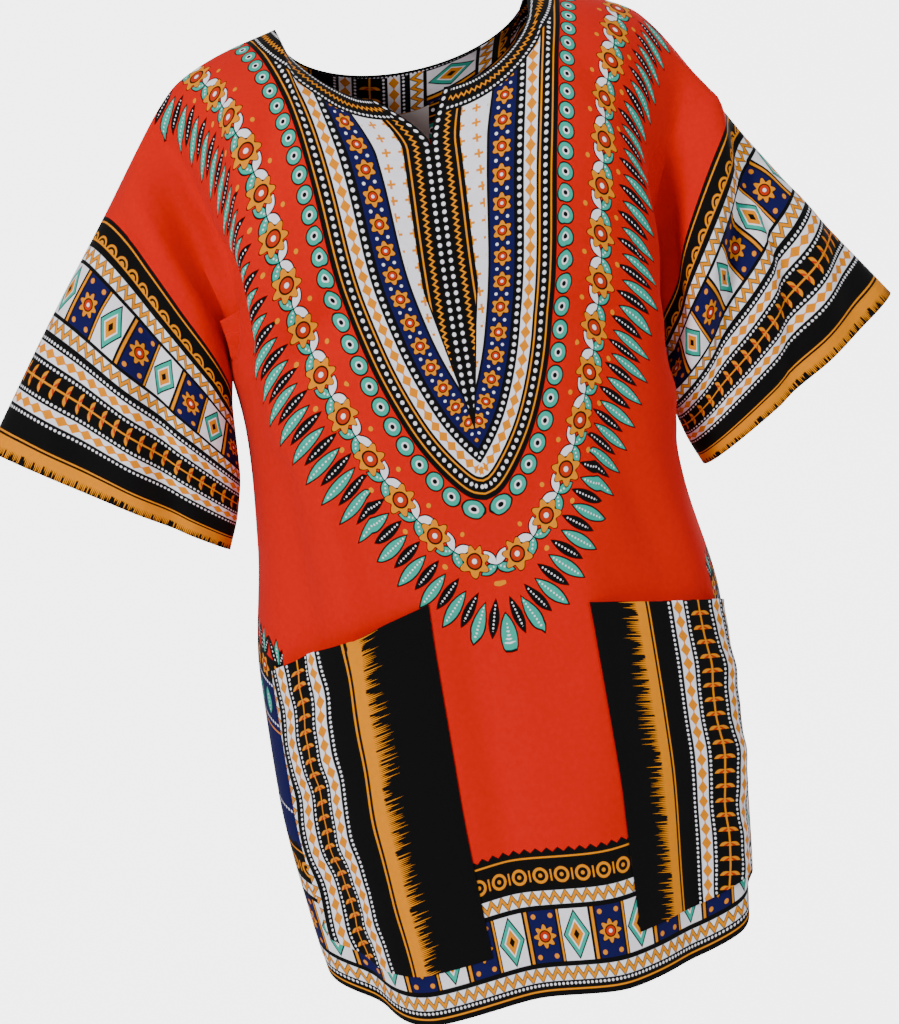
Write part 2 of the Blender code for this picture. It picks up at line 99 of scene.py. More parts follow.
# Where the shoulder and the top of the sleeve run, by the distance along the seam.
SHOULDER_LINE = {
    "across": (10.1, 15.6, 19.7, 22.0, 24.0, 31.7, 39.7, 50.5),
    "x": (10.1, 14.6, 18.3, 19.9, 21.1, 25.4, 30.1, 36.7),
    "z": (0.0, -1.2, -2.9, -4.5, -6.1, -12.6, -19.3, -28.6),
}

# Where the seam under the sleeve runs, from the armpit to the sleeve's hem.
UNDERSIDE_LINE = {
    "across": (27.0, 33.0, 39.0, 45.0, 50.5),
    "x": (17.5, 17.5, 17.6, 18.3, 19.4),
    "z": (-25.0, -29.6, -33.5, -36.9, -39.7),
}

# The torso's level rings. square is the exponent of the ring's superellipse.
TORSO = {
    "z": (-80.0, -70.0, -60.0, -50.0, -40.0, -31.0, -25.0),
    "half_width": (16.8, 18.2, 19.0, 18.8, 17.2, 16.5, 17.0),
    "front_depth": (13.4, 13.0, 12.4, 11.8, 11.6, 11.9, 11.6),
    "back_depth": (12.6, 12.0, 10.8, 9.8, 9.9, 10.8, 11.0),
    "square": (2.3, 2.3, 2.3, 2.5, 2.8, 3.1, 3.2),
}

# How each section of a panel bellies between the shoulder line and the armpit's level.
SECTIONS = {
    (FRONT, LEFT): {
        "across": (0.0, 10.1, 15.5, 18.5, 22.0, 26.0, 30.0, 36.0, 43.0, 50.5),
        "swell": (0.2, 0.8, 1.6, 1.7, 2.4, 3.6, 4.8, 5.2, 4.8, 4.3),
        "tuck": (0.0, 0.0, 0.1, 0.7, 1.5, 1.8, 1.2, 0.5, 0.1, 0.0),
        "sleeve": (0.0, 0.0, 0.0, 0.1, 0.4, 0.9, 1.0, 1.0, 1.0, 1.0),
    },
    (FRONT, RIGHT): {
        "across": (0.0, 10.1, 15.5, 19.5, 23.5, 27.5, 31.0, 36.0, 43.0, 50.5),
        "swell": (0.2, 0.8, 1.2, 1.8, 3.2, 3.8, 4.8, 5.3, 4.8, 4.3),
        "tuck": (0.0, 0.0, 0.0, 0.2, 0.7, 1.2, 0.9, 0.4, 0.1, 0.0),
        "sleeve": (0.0, 0.0, 0.0, 0.2, 0.6, 1.0, 1.0, 1.0, 1.0, 1.0),
    },
    (BACK, LEFT): {
        "across": (0.0, 10.1, 16.5, 20.5, 24.0, 27.5, 31.5, 38.0, 50.5),
        "swell": (0.8, 1.4, 1.7, 2.0, 2.9, 3.6, 4.5, 5.0, 4.2),
        "tuck": (0.0, 0.0, 0.1, 0.7, 1.4, 1.6, 0.7, 0.1, 0.0),
        "sleeve": (0.0, 0.0, 0.0, 0.2, 0.6, 1.0, 1.0, 1.0, 1.0),
    },
    (BACK, RIGHT): {
        "across": (0.0, 10.1, 16.5, 20.5, 24.0, 27.5, 31.5, 38.0, 50.5),
        "swell": (0.8, 1.4, 1.6, 2.1, 3.0, 3.7, 4.5, 5.0, 4.2),
        "tuck": (0.0, 0.0, 0.1, 0.6, 1.2, 1.5, 0.7, 0.1, 0.0),
        "sleeve": (0.0, 0.0, 0.0, 0.2, 0.6, 1.0, 1.0, 1.0, 1.0),
    },
}

# The creases: each one's depth, above 0 for a ridge and below 0 for a trough, its reach on
# the left-hand and on the right-hand side of its line as it runs, and the line's (x, z)
# points in the front view.
CREASES = {
    FRONT: (
        (0.9, 2.2, 0.9, ((-15.0, -6.5), (-15.3, -13), (-15.7, -19), (-15.8, -25), (-15.2, -32))),
        (-1.5, 0.8, 1.5, ((-20.2, -7.4), (-19.2, -12), (-18.7, -15), (-17.2, -19), (-16.8, -24))),
        (0.8, 1.6, 1.2, ((-23.4, -10), (-22.0, -15), (-20.2, -20), (-19.4, -26))),
        (-1.1, 0.6, 1.8, ((-24.2, -15), (-24.0, -21), (-23.8, -25.5), (-24.5, -32.5), (-24.3, -37))),
        (0.7, 1.7, 1.4, ((-26.6, -20), (-26.8, -27), (-27.4, -34))),
        (-0.5, 1.4, 1.4, ((-30.2, -21), (-30.6, -27), (-30.8, -31))),
        (0.4, 1.5, 1.5, ((-33.0, -24), (-33.2, -30))),
        (1.2, 0.8, 2.2, ((23.2, -8), (22.6, -16.5), (20.8, -21.5), (19.0, -28), (16.9, -33))),
        (-1.5, 1.3, 0.7, ((24.9, -14), (24.3, -18), (22.6, -22.5), (20.9, -28.5), (19.5, -33.5))),
        (0.5, 1.2, 1.2, ((26.0, -15), (26.7, -19.5), (27.4, -24))),
        (-1.1, 1.7, 0.6, ((25.4, -17), (25.8, -21), (26.3, -25), (26.0, -30), (25.2, -35))),
        (0.6, 1.6, 1.4, ((28.8, -20), (28.9, -26), (28.6, -33))),
        (-0.5, 1.4, 1.4, ((31.6, -23), (31.8, -30))),
        (-1.3, 0.9, 1.2, ((17.6, -15), (17.4, -21), (17.2, -27.5), (16.6, -31))),
        (0.7, 0.9, 1.6, ((15.2, -17), (15.6, -21), (16.2, -26), (16.4, -29))),
        (0.9, 0.8, 2.0, ((13.8, -23), (14.6, -28), (15.6, -35))),
        (-0.7, 1.8, 1.8, ((-15.6, -27), (-11.0, -23), (-8.0, -21.5))),
        (-0.6, 1.8, 1.8, ((15.2, -30), (11.0, -27), (8.0, -26))),
        (0.9, 1.5, 2.2, ((-13.6, -27), (-13.4, -36), (-12.8, -46))),
        (-0.8, 1.4, 1.4, ((-16.0, -33), (-16.2, -40), (-16.4, -49))),
        (-0.75, 2.2, 2.0, ((9.0, -31), (10.4, -38), (12.4, -46))),
        (0.6, 2.0, 2.2, ((5.0, -40), (5.6, -52), (5.0, -62))),
        (-0.6, 2.0, 1.8, ((-4.5, -46), (-4.0, -58), (-4.2, -68))),
        (-0.6, 1.6, 1.4, ((-11.6, -5.5), (-13.0, -9), (-14.2, -14))),
        (-0.5, 1.6, 1.6, ((12.2, -6), (14.4, -10), (16.8, -14))),
    ),
    BACK: (
        (0.7, 2.4, 2.2, ((-13.0, -12), (-12.4, -22), (-11.0, -35))),
        (-0.7, 2.2, 2.0, ((-8.0, -20), (-7.6, -32), (-7.0, -46))),
        (0.8, 2.2, 2.4, ((12.0, -13), (11.4, -25), (10.0, -38))),
        (-0.7, 2.2, 2.2, ((6.0, -24), (5.6, -36), (5.0, -50))),
        (-1.0, 1.0, 1.4, ((-18.8, -8), (-17.6, -15), (-17.2, -22))),
        (-1.0, 1.4, 1.0, ((18.8, -8), (17.8, -15), (17.2, -22))),
        (0.7, 1.2, 1.5, ((-15.6, -8), (-15.4, -16), (-15.4, -27))),
        (0.7, 1.5, 1.2, ((15.6, -8), (15.4, -17), (15.4, -28))),
        (-1.0, 0.8, 1.6, ((-24.4, -17), (-24.8, -26), (-25.0, -36))),
        (0.6, 1.6, 1.6, ((-27.6, -21), (-28.0, -33))),
        (-1.0, 1.6, 0.8, ((23.8, -16), (24.4, -26), (24.8, -36))),
        (0.6, 1.6, 1.6, ((27.2, -21), (27.8, -33))),
        (-0.4, 1.8, 1.8, ((-15.4, -28), (-10.6, -25), (-6.0, -24))),
        (-0.4, 1.8, 1.8, ((15.4, -27), (11.0, -24), (7.0, -22.5))),
    ),
}

# Soft flutes that deepen towards the hem, by their place across the panel.
FLUTES = {
    FRONT: {
        "across": (-23.0, -18.5, -13.5, -2.5, 4.5, 12.5, 18.0, 23.0),
        "width": (2.2, 2.0, 2.6, 2.6, 2.4, 2.6, 2.2, 2.2),
        "depth": (0.5, -0.7, 0.5, -0.4, 0.4, -0.6, 0.8, -0.5),
    },
    BACK: {
        "across": (-22.0, -16.0, -9.5, -2.0, 5.5, 12.0, 17.5, 23.0),
        "width": (2.4, 2.4, 2.8, 2.8, 2.6, 2.6, 2.4, 2.2),
        "depth": (-0.6, 0.9, -0.9, 0.8, -0.8, 0.9, -0.8, 0.5),
    },
}
FLUTE_TOP_Z = -34.0

HEM_SAG = {
    "x": (-27.0, -13.0, -3.0, 5.0, 13.0, 27.0),
    "lift": (0.0, -0.6, 0.3, -0.2, 0.4, 0.4),
}

# Half outlines in the flat cut, from the shoulder to the centre line: the yoke's shield,
# and the lines that its rows of rosettes and of sprigs sit on.
YOKE_LINES = {
    FRONT: {
        "shield": (
            (13.2, -3.0), (12.9, 0), (11.9, 5), (10.6, 11), (9.6, 18), (8.9, 25),
            (7.6, 31), (5.4, 36.5), (2.8, 40.2), (0.9, 41.8), (0, 42.0),
        ),
        "rosettes": (
            (18.6, -5.0), (18.4, 0), (16.8, 7), (15.0, 14), (13.8, 21), (12.8, 28),
            (11.0, 34.5), (8.0, 40.5), (4.6, 44.8), (1.7, 46.9), (0, 47.3),
        ),
        "sprigs": (
            (22.4, -5.0), (22.2, 0), (20.4, 7), (18.4, 14), (17.2, 22), (15.8, 30),
            (13.2, 37), (9.6, 43.4), (5.4, 48.6), (2.0, 51.4), (0, 52.0),
        ),
    },
    BACK: {
        "shield": ((13.4, -3.0), (13.2, 0), (12.4, 4), (10.4, 8), (7.0, 11), (3.4, 12.4), (0, 12.8)),
        "rosettes": (
            (18.6, -5.0), (18.4, 0), (17.2, 6), (14.4, 11.6), (9.6, 15.8), (4.6, 17.8), (0, 18.3),
        ),
        "sprigs": ((22.4, -5.0), (22.2, 0), (20.8, 7), (17.4, 14), (11.8, 19.2), (5.6, 21.6), (0, 22.3)),
    },
}


def smooth_lookup(table, column, at, by):
    """A column of a table at any place, on a curve with no overshoot through its rows."""
    places = np.array(table[by], float)
    values = np.array(table[column], float)
    slopes = np.diff(values) / np.diff(places)
    before, after = slopes[:-1], slopes[1:]
    same_way = before * after > 0
    sums = np.where(same_way, before + after, 1)
    middle = np.where(same_way, 2 * before * after / sums, 0)
    tangents = np.concatenate([slopes[:1], middle, slopes[-1:]])
    at = np.clip(at, places[0], places[-1])
    row = np.clip(np.searchsorted(places, at, side="right") - 1, 0, len(slopes) - 1)
    width = places[row + 1] - places[row]
    u = (at - places[row]) / width
    return (
        values[row] * (1 + 2 * u) * (1 - u) ** 2
        + tangents[row] * width * u * (1 - u) ** 2
        + values[row + 1] * u**2 * (3 - 2 * u)
        - tangents[row + 1] * width * u**2 * (1 - u)
    )


def smooth_columns(table, columns, at, by):
    return [smooth_lookup(table, column, at, by) for column in columns]


def smooth_step(value):
    value = np.clip(value, 0, 1)
    return value * value * (3 - 2 * value)


def grid_lookup(grid, rows, columns, at_row, at_column):
    """A grid's value between its rows and columns."""
    i = np.clip(np.searchsorted(rows, at_row, side="right") - 1, 0, len(rows) - 2)
    j = np.clip(np.searchsorted(columns, at_column, side="right") - 1, 0, len(columns) - 2)
    u = (at_row - rows[i]) / (rows[i + 1] - rows[i])
    v = (at_column - columns[j]) / (columns[j + 1] - columns[j])
    u, v = u[..., None], v[..., None]
    near = grid[i, j] * (1 - v) + grid[i, j + 1] * v
    far = grid[i + 1, j] * (1 - v) + grid[i + 1, j + 1] * v
    return near * (1 - u) + far * u


def passed_along(lengths):
    """How far along a line each of its points lies, from the lengths of its runs."""
    return np.concatenate([[0], np.cumsum(lengths)])


RING_LEVELS = np.linspace(-84.0, ARMPIT_Z, 119)
RING_SHARES = np.linspace(0, 1, 121)


def ring_grid(depth_column):
    """The torso's level rings, by height and by the share of a ring's quarter passed."""
    turn = np.linspace(0, math.pi / 2, 181)
    grid = np.zeros((len(RING_LEVELS), len(RING_SHARES), 2))
    for level, z in enumerate(RING_LEVELS):
        power = 2 / smooth_lookup(TORSO, "square", z, "z")
        xs = smooth_lookup(TORSO, "half_width", z, "z") * np.sin(turn) ** power
        ys = smooth_lookup(TORSO, depth_column, z, "z") * np.clip(np.cos(turn), 0, 1) ** power
        passed = passed_along(np.hypot(np.diff(xs), np.diff(ys)))
        grid[level, :, 0] = np.interp(RING_SHARES * passed[-1], passed, xs)
        grid[level, :, 1] = np.interp(RING_SHARES * passed[-1], passed, ys)
    return grid


RINGS = {FRONT: ring_grid("front_depth"), BACK: ring_grid("back_depth")}


def ring_points(face, side, distance, z):
    opening = smooth_step((SIDE_SLIT_Z - z) / (SIDE_SLIT_Z - HEM_Z[face]))
    share = distance / PANEL_HALF_WIDTH * (1 - HEM_SLIT_OPENING * opening)
    xy = grid_lookup(RINGS[face], RING_LEVELS, RING_SHARES, z, np.clip(share, 0, 1))
    return np.stack([side * xy[..., 0], face * xy[..., 1], z], axis=-1)


def hem_height(face, side, distance):
    corner = HEM_CORNER_LIFT * smooth_step((distance - 11) / 16) ** 1.3
    sag = smooth_lookup(HEM_SAG, "lift", -face * side * distance, "x")
    return HEM_Z[face] + corner + sag


def top_points(face, side, distance):
    """The neckline in the middle, and the shoulder seam and the sleeve's top beyond it."""
    fall = np.sqrt(np.clip(1 - (distance / NECK_HALF_WIDTH) ** 2, 0, 1))
    in_neck = distance < NECK_HALF_WIDTH
    seam_x, seam_z = smooth_columns(SHOULDER_LINE, "xz", distance, "across")
    x = side * np.where(in_neck, distance, seam_x)
    z = np.where(in_neck, -NECK_DROP[face] * fall, seam_z)
    return np.stack([x, face * NECK_DEPTH[face] * fall, z], axis=-1)


def upper_points(face, side, distance, down):
    """Points between the shoulder line (down = 0) and the armpit's level (down = 1)."""
    columns = ("swell", "tuck", "sleeve")
    swell, tuck, sleeve = smooth_columns(SECTIONS[face, side], columns, distance, "across")
    top = top_points(face, side, distance)
    on_body = distance <= PANEL_HALF_WIDTH
    level = np.full_like(distance, ARMPIT_Z)
    foot_of_body = ring_points(face, side, np.minimum(distance, PANEL_HALF_WIDTH), level)
    foot_x, foot_z = smooth_columns(UNDERSIDE_LINE, "xz", distance, "across")
    foot_of_sleeve = np.stack([side * foot_x, 0 * foot_x, foot_z], axis=-1)
    foot = np.where(on_body[..., None], foot_of_body, foot_of_sleeve)
    lean = 1 + 0.35 * smooth_step(distance / NECK_HALF_WIDTH)
    round_fall = (1 - np.cos(math.pi * down)) / 2
    fall = down**lean * (1 - sleeve) + round_fall * sleeve
    forward = (1 - (1 - down) ** 2.6) * (1 - sleeve) + round_fall * sleeve
    belly = np.sin(math.pi * down) ** (1.0 - 0.15 * sleeve)
    x = top[..., 0] + (foot[..., 0] - top[..., 0]) * fall - side * tuck * belly
    y = top[..., 1] + (foot[..., 1] - top[..., 1]) * forward + face * swell * belly
    z = top[..., 2] + (foot[..., 2] - top[..., 2]) * fall
    return np.stack([x, y, z], axis=-1)


def smooth_points(face, side, distance, down):
    """Points of a panel without its folds. Below the armpit's level, down runs on to 2."""
    upper = upper_points(face, side, distance, np.clip(down, 0, 1))
    z = ARMPIT_Z + (hem_height(face, side, distance) - ARMPIT_Z) * (down - 1)
    body = np.minimum(distance, PANEL_HALF_WIDTH)
    lower = ring_points(face, side, body, np.minimum(z, ARMPIT_Z))
    points = np.where((down > 1)[..., None], lower, upper)
    points[..., 0] -= SWAY * smooth_step(-points[..., 2] / SWAY_DROP)
    return points


def nearest_on(line, x, y):
    """How far off a line places lie, above 0 on its left, how far along, and its length."""
    runs = np.diff(line, axis=0)
    lengths = np.hypot(runs[:, 0], runs[:, 1])
    passed = passed_along(lengths)
    off = np.full(x.shape, 1e9)
    along = np.zeros(x.shape)
    for start, run, length, before in zip(line, runs, lengths, passed):
        away_x, away_y = x - start[0], y - start[1]
        reach = np.clip((away_x * run[0] + away_y * run[1]) / length**2, 0, 1)
        far = np.hypot(away_x - run[0] * reach, away_y - run[1] * reach)
        closer = far < abs(off)
        on_left = run[0] * away_y - run[1] * away_x > 0
        off = np.where(closer, np.where(on_left, far, -far), off)
        along = np.where(closer, before + reach * length, along)
    return off, along, passed[-1]


def crease_depth(crease, x, z):
    """How far one crease moves points out or in, by their place in the front view."""
    depth, left, right, line = crease
    off, along, length = nearest_on(np.array(line), x, z)
    ends = np.sin(math.pi * np.clip(0.12 + 0.76 * along / length, 0, 1)) ** 0.7
    return depth * ends * np.exp(-((off / np.where(off > 0, left, right)) ** 2))


def fold_depths(face, side, distance, points):
    x, z = points[..., 0], points[..., 2]
    depths = np.zeros_like(x)
    for crease in CREASES[face]:
        depths += crease_depth(crease, x, z)
    grown = smooth_step((FLUTE_TOP_Z - z) / (FLUTE_TOP_Z - HEM_Z[face]))
    grown = grown * (distance <= PANEL_HALF_WIDTH)
    flutes = FLUTES[face]
    for middle, width, size in zip(flutes["across"], flutes["width"], flutes["depth"]):
        depths += grown * size * np.exp(-(((side * distance - middle) / width) ** 2))
    return depths


def seam_calm(distance, down):
    """0 on a panel's sewn edges and neckline and 1 away from them, so that edges meet."""
    beside = smooth_step(abs(PANEL_HALF_WIDTH - distance) / SEAM_CALM)
    on_body = distance <= PANEL_HALF_WIDTH
    above = np.where(on_body, 1.0, smooth_step((1 - down) / EDGE_CALM))
    from_foot = np.maximum(beside * above, np.clip(1 - down, 0, 1))
    return smooth_step(down / EDGE_CALM) * from_foot


def slit_shift(side, distance, z):
    foot_z = -NECK_DROP[FRONT] - NECK_SLIT
    spread = np.clip((z - foot_z) / NECK_SLIT, 0, 1) ** 1.4
    return side * SLIT_OPENING[side] * spread * np.clip(1 - distance / 9.0, 0, 1) ** 1.6


def folded_points(face, side, distance, down):
    """A panel's points with its folds."""
    points = smooth_points(face, side, distance, down)
    step, down_step = 0.4, 0.02
    outward = np.minimum(distance + step, CUFF_ACROSS)
    on_body = (distance <= PANEL_HALF_WIDTH) & (down > 1)
    outward = np.where(on_body, np.minimum(outward, PANEL_HALF_WIDTH), outward)
    inward = np.maximum(distance - step, 0)
    beside = smooth_points(face, side, outward, down) - smooth_points(face, side, inward, down)
    lower = np.clip(down + down_step, 0, 2)
    upper = np.clip(down - down_step, 0, 2)
    below = smooth_points(face, side, distance, lower) - smooth_points(face, side, distance, upper)
    normals = np.cross(beside, below)
    normals /= np.linalg.norm(normals, axis=-1, keepdims=True) + 1e-9
    normals *= np.where(normals[..., 1:2] * face < 0, -1, 1)
    depths = fold_depths(face, side, distance, points) * seam_calm(distance, down)
    points = points + normals * depths[..., None]
    if face == FRONT:
        points[..., 0] += slit_shift(side, distance, points[..., 2])
    return points


def spaced(stops, step):
    """Places between the stops, each stop kept, no further apart than about a step."""
    places = [stops[0]]
    for start, end in zip(stops, stops[1:]):
        count = max(1, round((end - start) / step))
        places += list(np.linspace(start, end, count + 1)[1:])
    return np.array(places)


def line_coordinates(outline, across, height):
    """How far along a half outline a flat point lies, from the centre line, and how far off."""
    knots = np.array(outline, float)[::-1]
    passed = passed_along(np.linalg.norm(np.diff(knots, axis=0), axis=1))
    curve = {"t": passed, "x": knots[:, 0], "y": knots[:, 1]}
    fine = np.linspace(0, passed[-1], 160)
    path = np.stack(smooth_columns(curve, "xy", fine, "t"), axis=1)
    off, along, _ = nearest_on(path, abs(across), height)
    return along, off


def drop_down(points):
    """How far down the cloth each point of a grid lies from the first of its column."""
    runs = np.linalg.norm(np.diff(points, axis=1), axis=2)
    return np.concatenate([np.zeros((len(points), 1)), np.cumsum(runs, axis=1)], axis=1)


def sheet_object(name, points, quads, uv_maps):
    """A mesh object of an open sheet, with UV maps given by point."""
    mesh = bpy.data.meshes.new(name)
    mesh.from_pydata([tuple(p) for p in points * CM], [], [tuple(q) for q in quads])
    corners = np.array([loop.vertex_index for loop in mesh.loops])
    for uv_name, values in uv_maps.items():
        layer = mesh.uv_layers.new(name=uv_name)
        layer.data.foreach_set("uv", values[corners].astype(np.float32).ravel())
    obj = bpy.data.objects.new(name, mesh)
    bpy.context.scene.collection.objects.link(obj)
    return obj


def select_only(obj):
    bpy.ops.object.select_all(action="DESELECT")
    obj.select_set(True)
    bpy.context.view_layer.objects.active = obj


def thicken(obj, thickness):
    """Gives an open sheet its cloth's thickness, behind its outer face."""
    select_only(obj)
    bpy.ops.object.modifier_add(type="SOLIDIFY")
    solidify = obj.modifiers[-1]
    solidify.thickness = thickness
    solidify.offset = -1
    bpy.ops.object.modifier_apply(modifier=solidify.name)
    bpy.ops.object.shade_smooth_by_angle(angle=math.radians(40))


def panel_sheet(name, face, step):
    """A panel's sheet on a fine grid, laid out flat in its UV maps."""
    columns = spaced((0.0, 5.0, NECK_HALF_WIDTH, PANEL_HALF_WIDTH, CUFF_ACROSS), step)
    rows = np.concatenate(
        [
            spaced((0.0, SLIT_FOOT, 1.0), step / 20),
            1 + spaced((0.0, 1.0), step / 52)[1:],
        ]
    )
    slit_rows = int(np.argmin(abs(rows - SLIT_FOOT)))
    last_upper = int(np.argmin(abs(rows - 1)))
    side_column = int(np.argmin(abs(columns - PANEL_HALF_WIDTH)))
    distance, down = np.meshgrid(columns, rows, indexing="ij")
    points, index, quads = [], {}, []
    flat = {"cloth": [], "edge": [], "shield": [], "rosettes": [], "sprigs": []}
    for side in (LEFT, RIGHT):
        grid = folded_points(face, side, distance, down)
        drop = drop_down(smooth_points(face, side, distance, down))
        neck = np.sqrt(np.clip(1 - (distance / NECK_HALF_WIDTH) ** 2, 0, 1))
        height = drop + NECK_CUT_DROP[face] * neck
        from_hem = np.where(distance <= PANEL_HALF_WIDTH + 0.01, drop[:, -1:] - drop, NO_HEM)
        from_cuff = CUFF_ACROSS - distance
        maps = {
            "cloth": (side * distance, height),
            "edge": (from_hem, from_cuff),
        }
        for line, outline in YOKE_LINES[face].items():
            maps[line] = line_coordinates(outline, distance, height)
        for column in range(len(columns)):
            last_row = len(rows) - 1 if column <= side_column else last_upper
            for row in range(last_row + 1):
                in_one = column == 0 and (face == BACK or row >= slit_rows)
                if side == RIGHT and in_one:
                    index[side, column, row] = index[LEFT, 0, row]
                    continue
                index[side, column, row] = len(points)
                points.append(grid[column, row])
                for key, (u, v) in maps.items():
                    flat[key].append((u[column, row], v[column, row]))
        for column in range(len(columns) - 1):
            last_row = len(rows) - 1 if column < side_column else last_upper
            for row in range(last_row):
                corners = ((0, 0), (1, 0), (1, 1), (0, 1))
                quad = [index[side, column + i, row + j] for i, j in corners]
                quads.append(quad if face * side > 0 else quad[::-1])
    points = np.array(points)
    on_seam = face * points[:, 1] < SEAM_GAP / 2
    points[on_seam, 1] = face * SEAM_GAP / 2
    maps = {key: np.array(values) for key, values in flat.items()}
    return sheet_object(name, points, quads, maps)


def patch_sheet(name, points, off, uv_maps):
    """A sheet that lies off a grid of points, towards the front."""
    normals = np.cross(np.gradient(points, axis=0), np.gradient(points, axis=1))
    normals /= np.linalg.norm(normals, axis=2, keepdims=True)
    if normals[points.shape[0] // 2, 0, 1] > 0:
        normals = -normals
    columns, rows = points.shape[:2]
    quads = [
        (i * rows + j, (i + 1) * rows + j, (i + 1) * rows + j + 1, i * rows + j + 1)
        for i in range(columns - 1)
        for j in range(rows - 1)
    ]
    outer = (points + normals * off[..., None]).reshape(-1, 3)
    first = outer[list(quads[len(quads) // 2])]
    if np.cross(first[2] - first[0], first[3] - first[1])[1] > 0:
        quads = [quad[::-1] for quad in quads]
    flat = {key: np.stack(pair, axis=-1).reshape(-1, 2) for key, pair in uv_maps.items()}
    return sheet_object(name, outer, quads, flat)


def pocket_sheet(name, side, sizes):
    """A patch pocket, its mouth a little open and its outer bands rippled."""
    step = sizes.patch_grid / CM
    distance = spaced((POCKET_INNER[side], POCKET_OUTER[side]), step)
    column_share = (distance - distance[0]) / (distance[-1] - distance[0])
    top_z = POCKET_TOP_Z[side] - POCKET_TOP_FALL[side] * column_share
    hem_z = hem_height(FRONT, side, distance)
    foot_z = hem_z + POCKET_ABOVE_HEM
    row_share = spaced((0.0, 1.0), step / 26)
    z = top_z[:, None] + (foot_z - top_z)[:, None] * row_share
    down = 1 + (ARMPIT_Z - z) / (ARMPIT_Z - hem_z)[:, None]
    across = np.repeat(distance[:, None], len(row_share), axis=1)
    points = folded_points(FRONT, side, across, down)
    from_sides = np.sin(math.pi * column_share)[:, None] ** 0.8
    from_foot = smooth_step((1 - row_share) / 0.75)
    gape = POCKET_REST + (POCKET_GAPE - POCKET_REST) * from_sides * from_foot
    length = (top_z - foot_z)[:, None] * row_share
    outer_share = smooth_step((column_share[:, None] - 0.35) / 0.5) * from_sides
    ripple = np.sin(length * 0.85 + 2.2 * column_share[:, None] + side)
    ripple += 0.6 * np.sin(length * 1.9 - 3.0 * column_share[:, None])
    gape = gape + 0.16 * outer_share * np.clip(ripple, -1, 2) + 0.16 * outer_share
    from_inner = across - distance[0]
    wobble = 0.22 * smooth_step((column_share[:, None] - 0.3) / 0.5)
    wobble = wobble * np.sin(length * 0.85 + 0.8 * side)
    maps = {
        "cloth": (length, from_inner),
        "band": (length + 0 * from_inner, from_inner - POCKET_BLACK[side] + wobble),
        "edge": (length, np.minimum(from_inner, distance[-1] - across)),
    }
    obj = patch_sheet(name, points, gape + sizes.cloth / CM, maps)
    thicken(obj, sizes.cloth)
    return obj


def lining_sheet(name, half_width, shares, step, sizes):
    """A piece on the inside of the back, laid against its inner face."""
    across = spaced((-half_width, half_width), step)
    signed, down = np.meshgrid(across, shares, indexing="ij")
    left = folded_points(BACK, LEFT, abs(signed), down)
    right = folded_points(BACK, RIGHT, abs(signed), down)
    points = np.where((signed < 0)[..., None], left, right)
    drop = drop_down(points)
    maps = {
        "cloth": (signed, drop),
        "band": (drop, signed + half_width),
        "edge": (drop, half_width - abs(signed)),
    }
    off = sizes.cloth / CM + LINING_GAP + sizes.lining / CM
    obj = patch_sheet(name, points, np.full(signed.shape, off), maps)
    thicken(obj, sizes.lining)
    return obj


# How far a panel's prints reach from the hem and the cuff, and how far from the middle the
# one at the side starts, each with a little to spare.
HEM_PRINT_TOP = 12.6
SIDE_PRINT_TOP, SIDE_PRINT_START = 29.5, 19.4
SLEEVE_PRINT_TOP = 20.2

# The sockets of a Mix node that mixes colours.
FACTOR, COLOUR_A, COLOUR_B, COLOUR_OUT = 0, 6, 7, 2

# Which of a piece's two distances from its edges a row of stitches keeps to.
FIRST_EDGE, SECOND_EDGE = 0, 1


def math_method(operation):
    return lambda field, *others: field.math(operation, *others)


class Field:
    """A number that varies over a piece, worked out by Math nodes."""

    def __init__(self, tree, source):
        self.tree = tree
        self.source = source

    def math(self, operation, *others, clamp=False):
        node = self.tree.nodes.new("ShaderNodeMath")
        node.operation = operation
        node.use_clamp = clamp
        for slot, term in enumerate((self, *others)):
            if isinstance(term, Field):
                self.tree.links.new(term.source, node.inputs[slot])
            else:
                node.inputs[slot].default_value = term
        return Field(self.tree, node.outputs[0])

    __add__ = __radd__ = math_method("ADD")
    __sub__ = math_method("SUBTRACT")
    __mul__ = __rmul__ = math_method("MULTIPLY")
    __truediv__ = math_method("DIVIDE")
    low = math_method("MINIMUM")
    high = math_method("MAXIMUM")
    far = math_method("ABSOLUTE")
    part = math_method("FRACT")
    whole = math_method("FLOOR")
    sine = math_method("SINE")

    def __rsub__(self, other):
        return self.math("MULTIPLY_ADD", -1.0, other)

    def from_origin(self, other):
        """The distance of (self, other) from the origin."""
        return (self * self + other * other).math("SQRT")

    def cell(self, pitch):
        """The place within a repeat, from minus to plus half the pitch."""
        return ((self / pitch).part() - 0.5) * pitch

    def shown(self, soft=0.04):
        """A mask: 1 where the number is above 0, with a soft edge."""
        return self.math("MULTIPLY_ADD", 1 / soft, 0.5, clamp=True)

    def chance(self):
        """A number from 0 to 1 that looks random, from a whole number."""
        return ((self * 12.9898 + 4.1).sine() * 437.585).part()


def mixed(tree, factor, first, second, blend="MIX"):
    """Two colours mixed by a node. Each term is a socket or a constant."""
    mix = tree.nodes.new("ShaderNodeMix")
    mix.data_type = "RGBA"
    mix.blend_type = blend
    for slot, term in ((FACTOR, factor), (COLOUR_A, first), (COLOUR_B, second)):
        if isinstance(term, bpy.types.NodeSocket):
            tree.links.new(term, mix.inputs[slot])
        else:
            mix.inputs[slot].default_value = term
    return mix.outputs[COLOUR_OUT]


class Print:
    """Dyes laid over one another where a number is above 0, within a limit where one is set."""

    def __init__(self, tree, dyes, ground):
        self.tree = tree
        self.dyes = dyes
        self.colour = dyes[ground]
        self.limit = None

    def lay(self, inside, dye, soft=0.04):
        mask = inside.shown(soft)
        if self.limit is not None:
            mask = mask * self.limit
        self.colour = mixed(self.tree, mask.source, self.colour, self.dyes[dye])


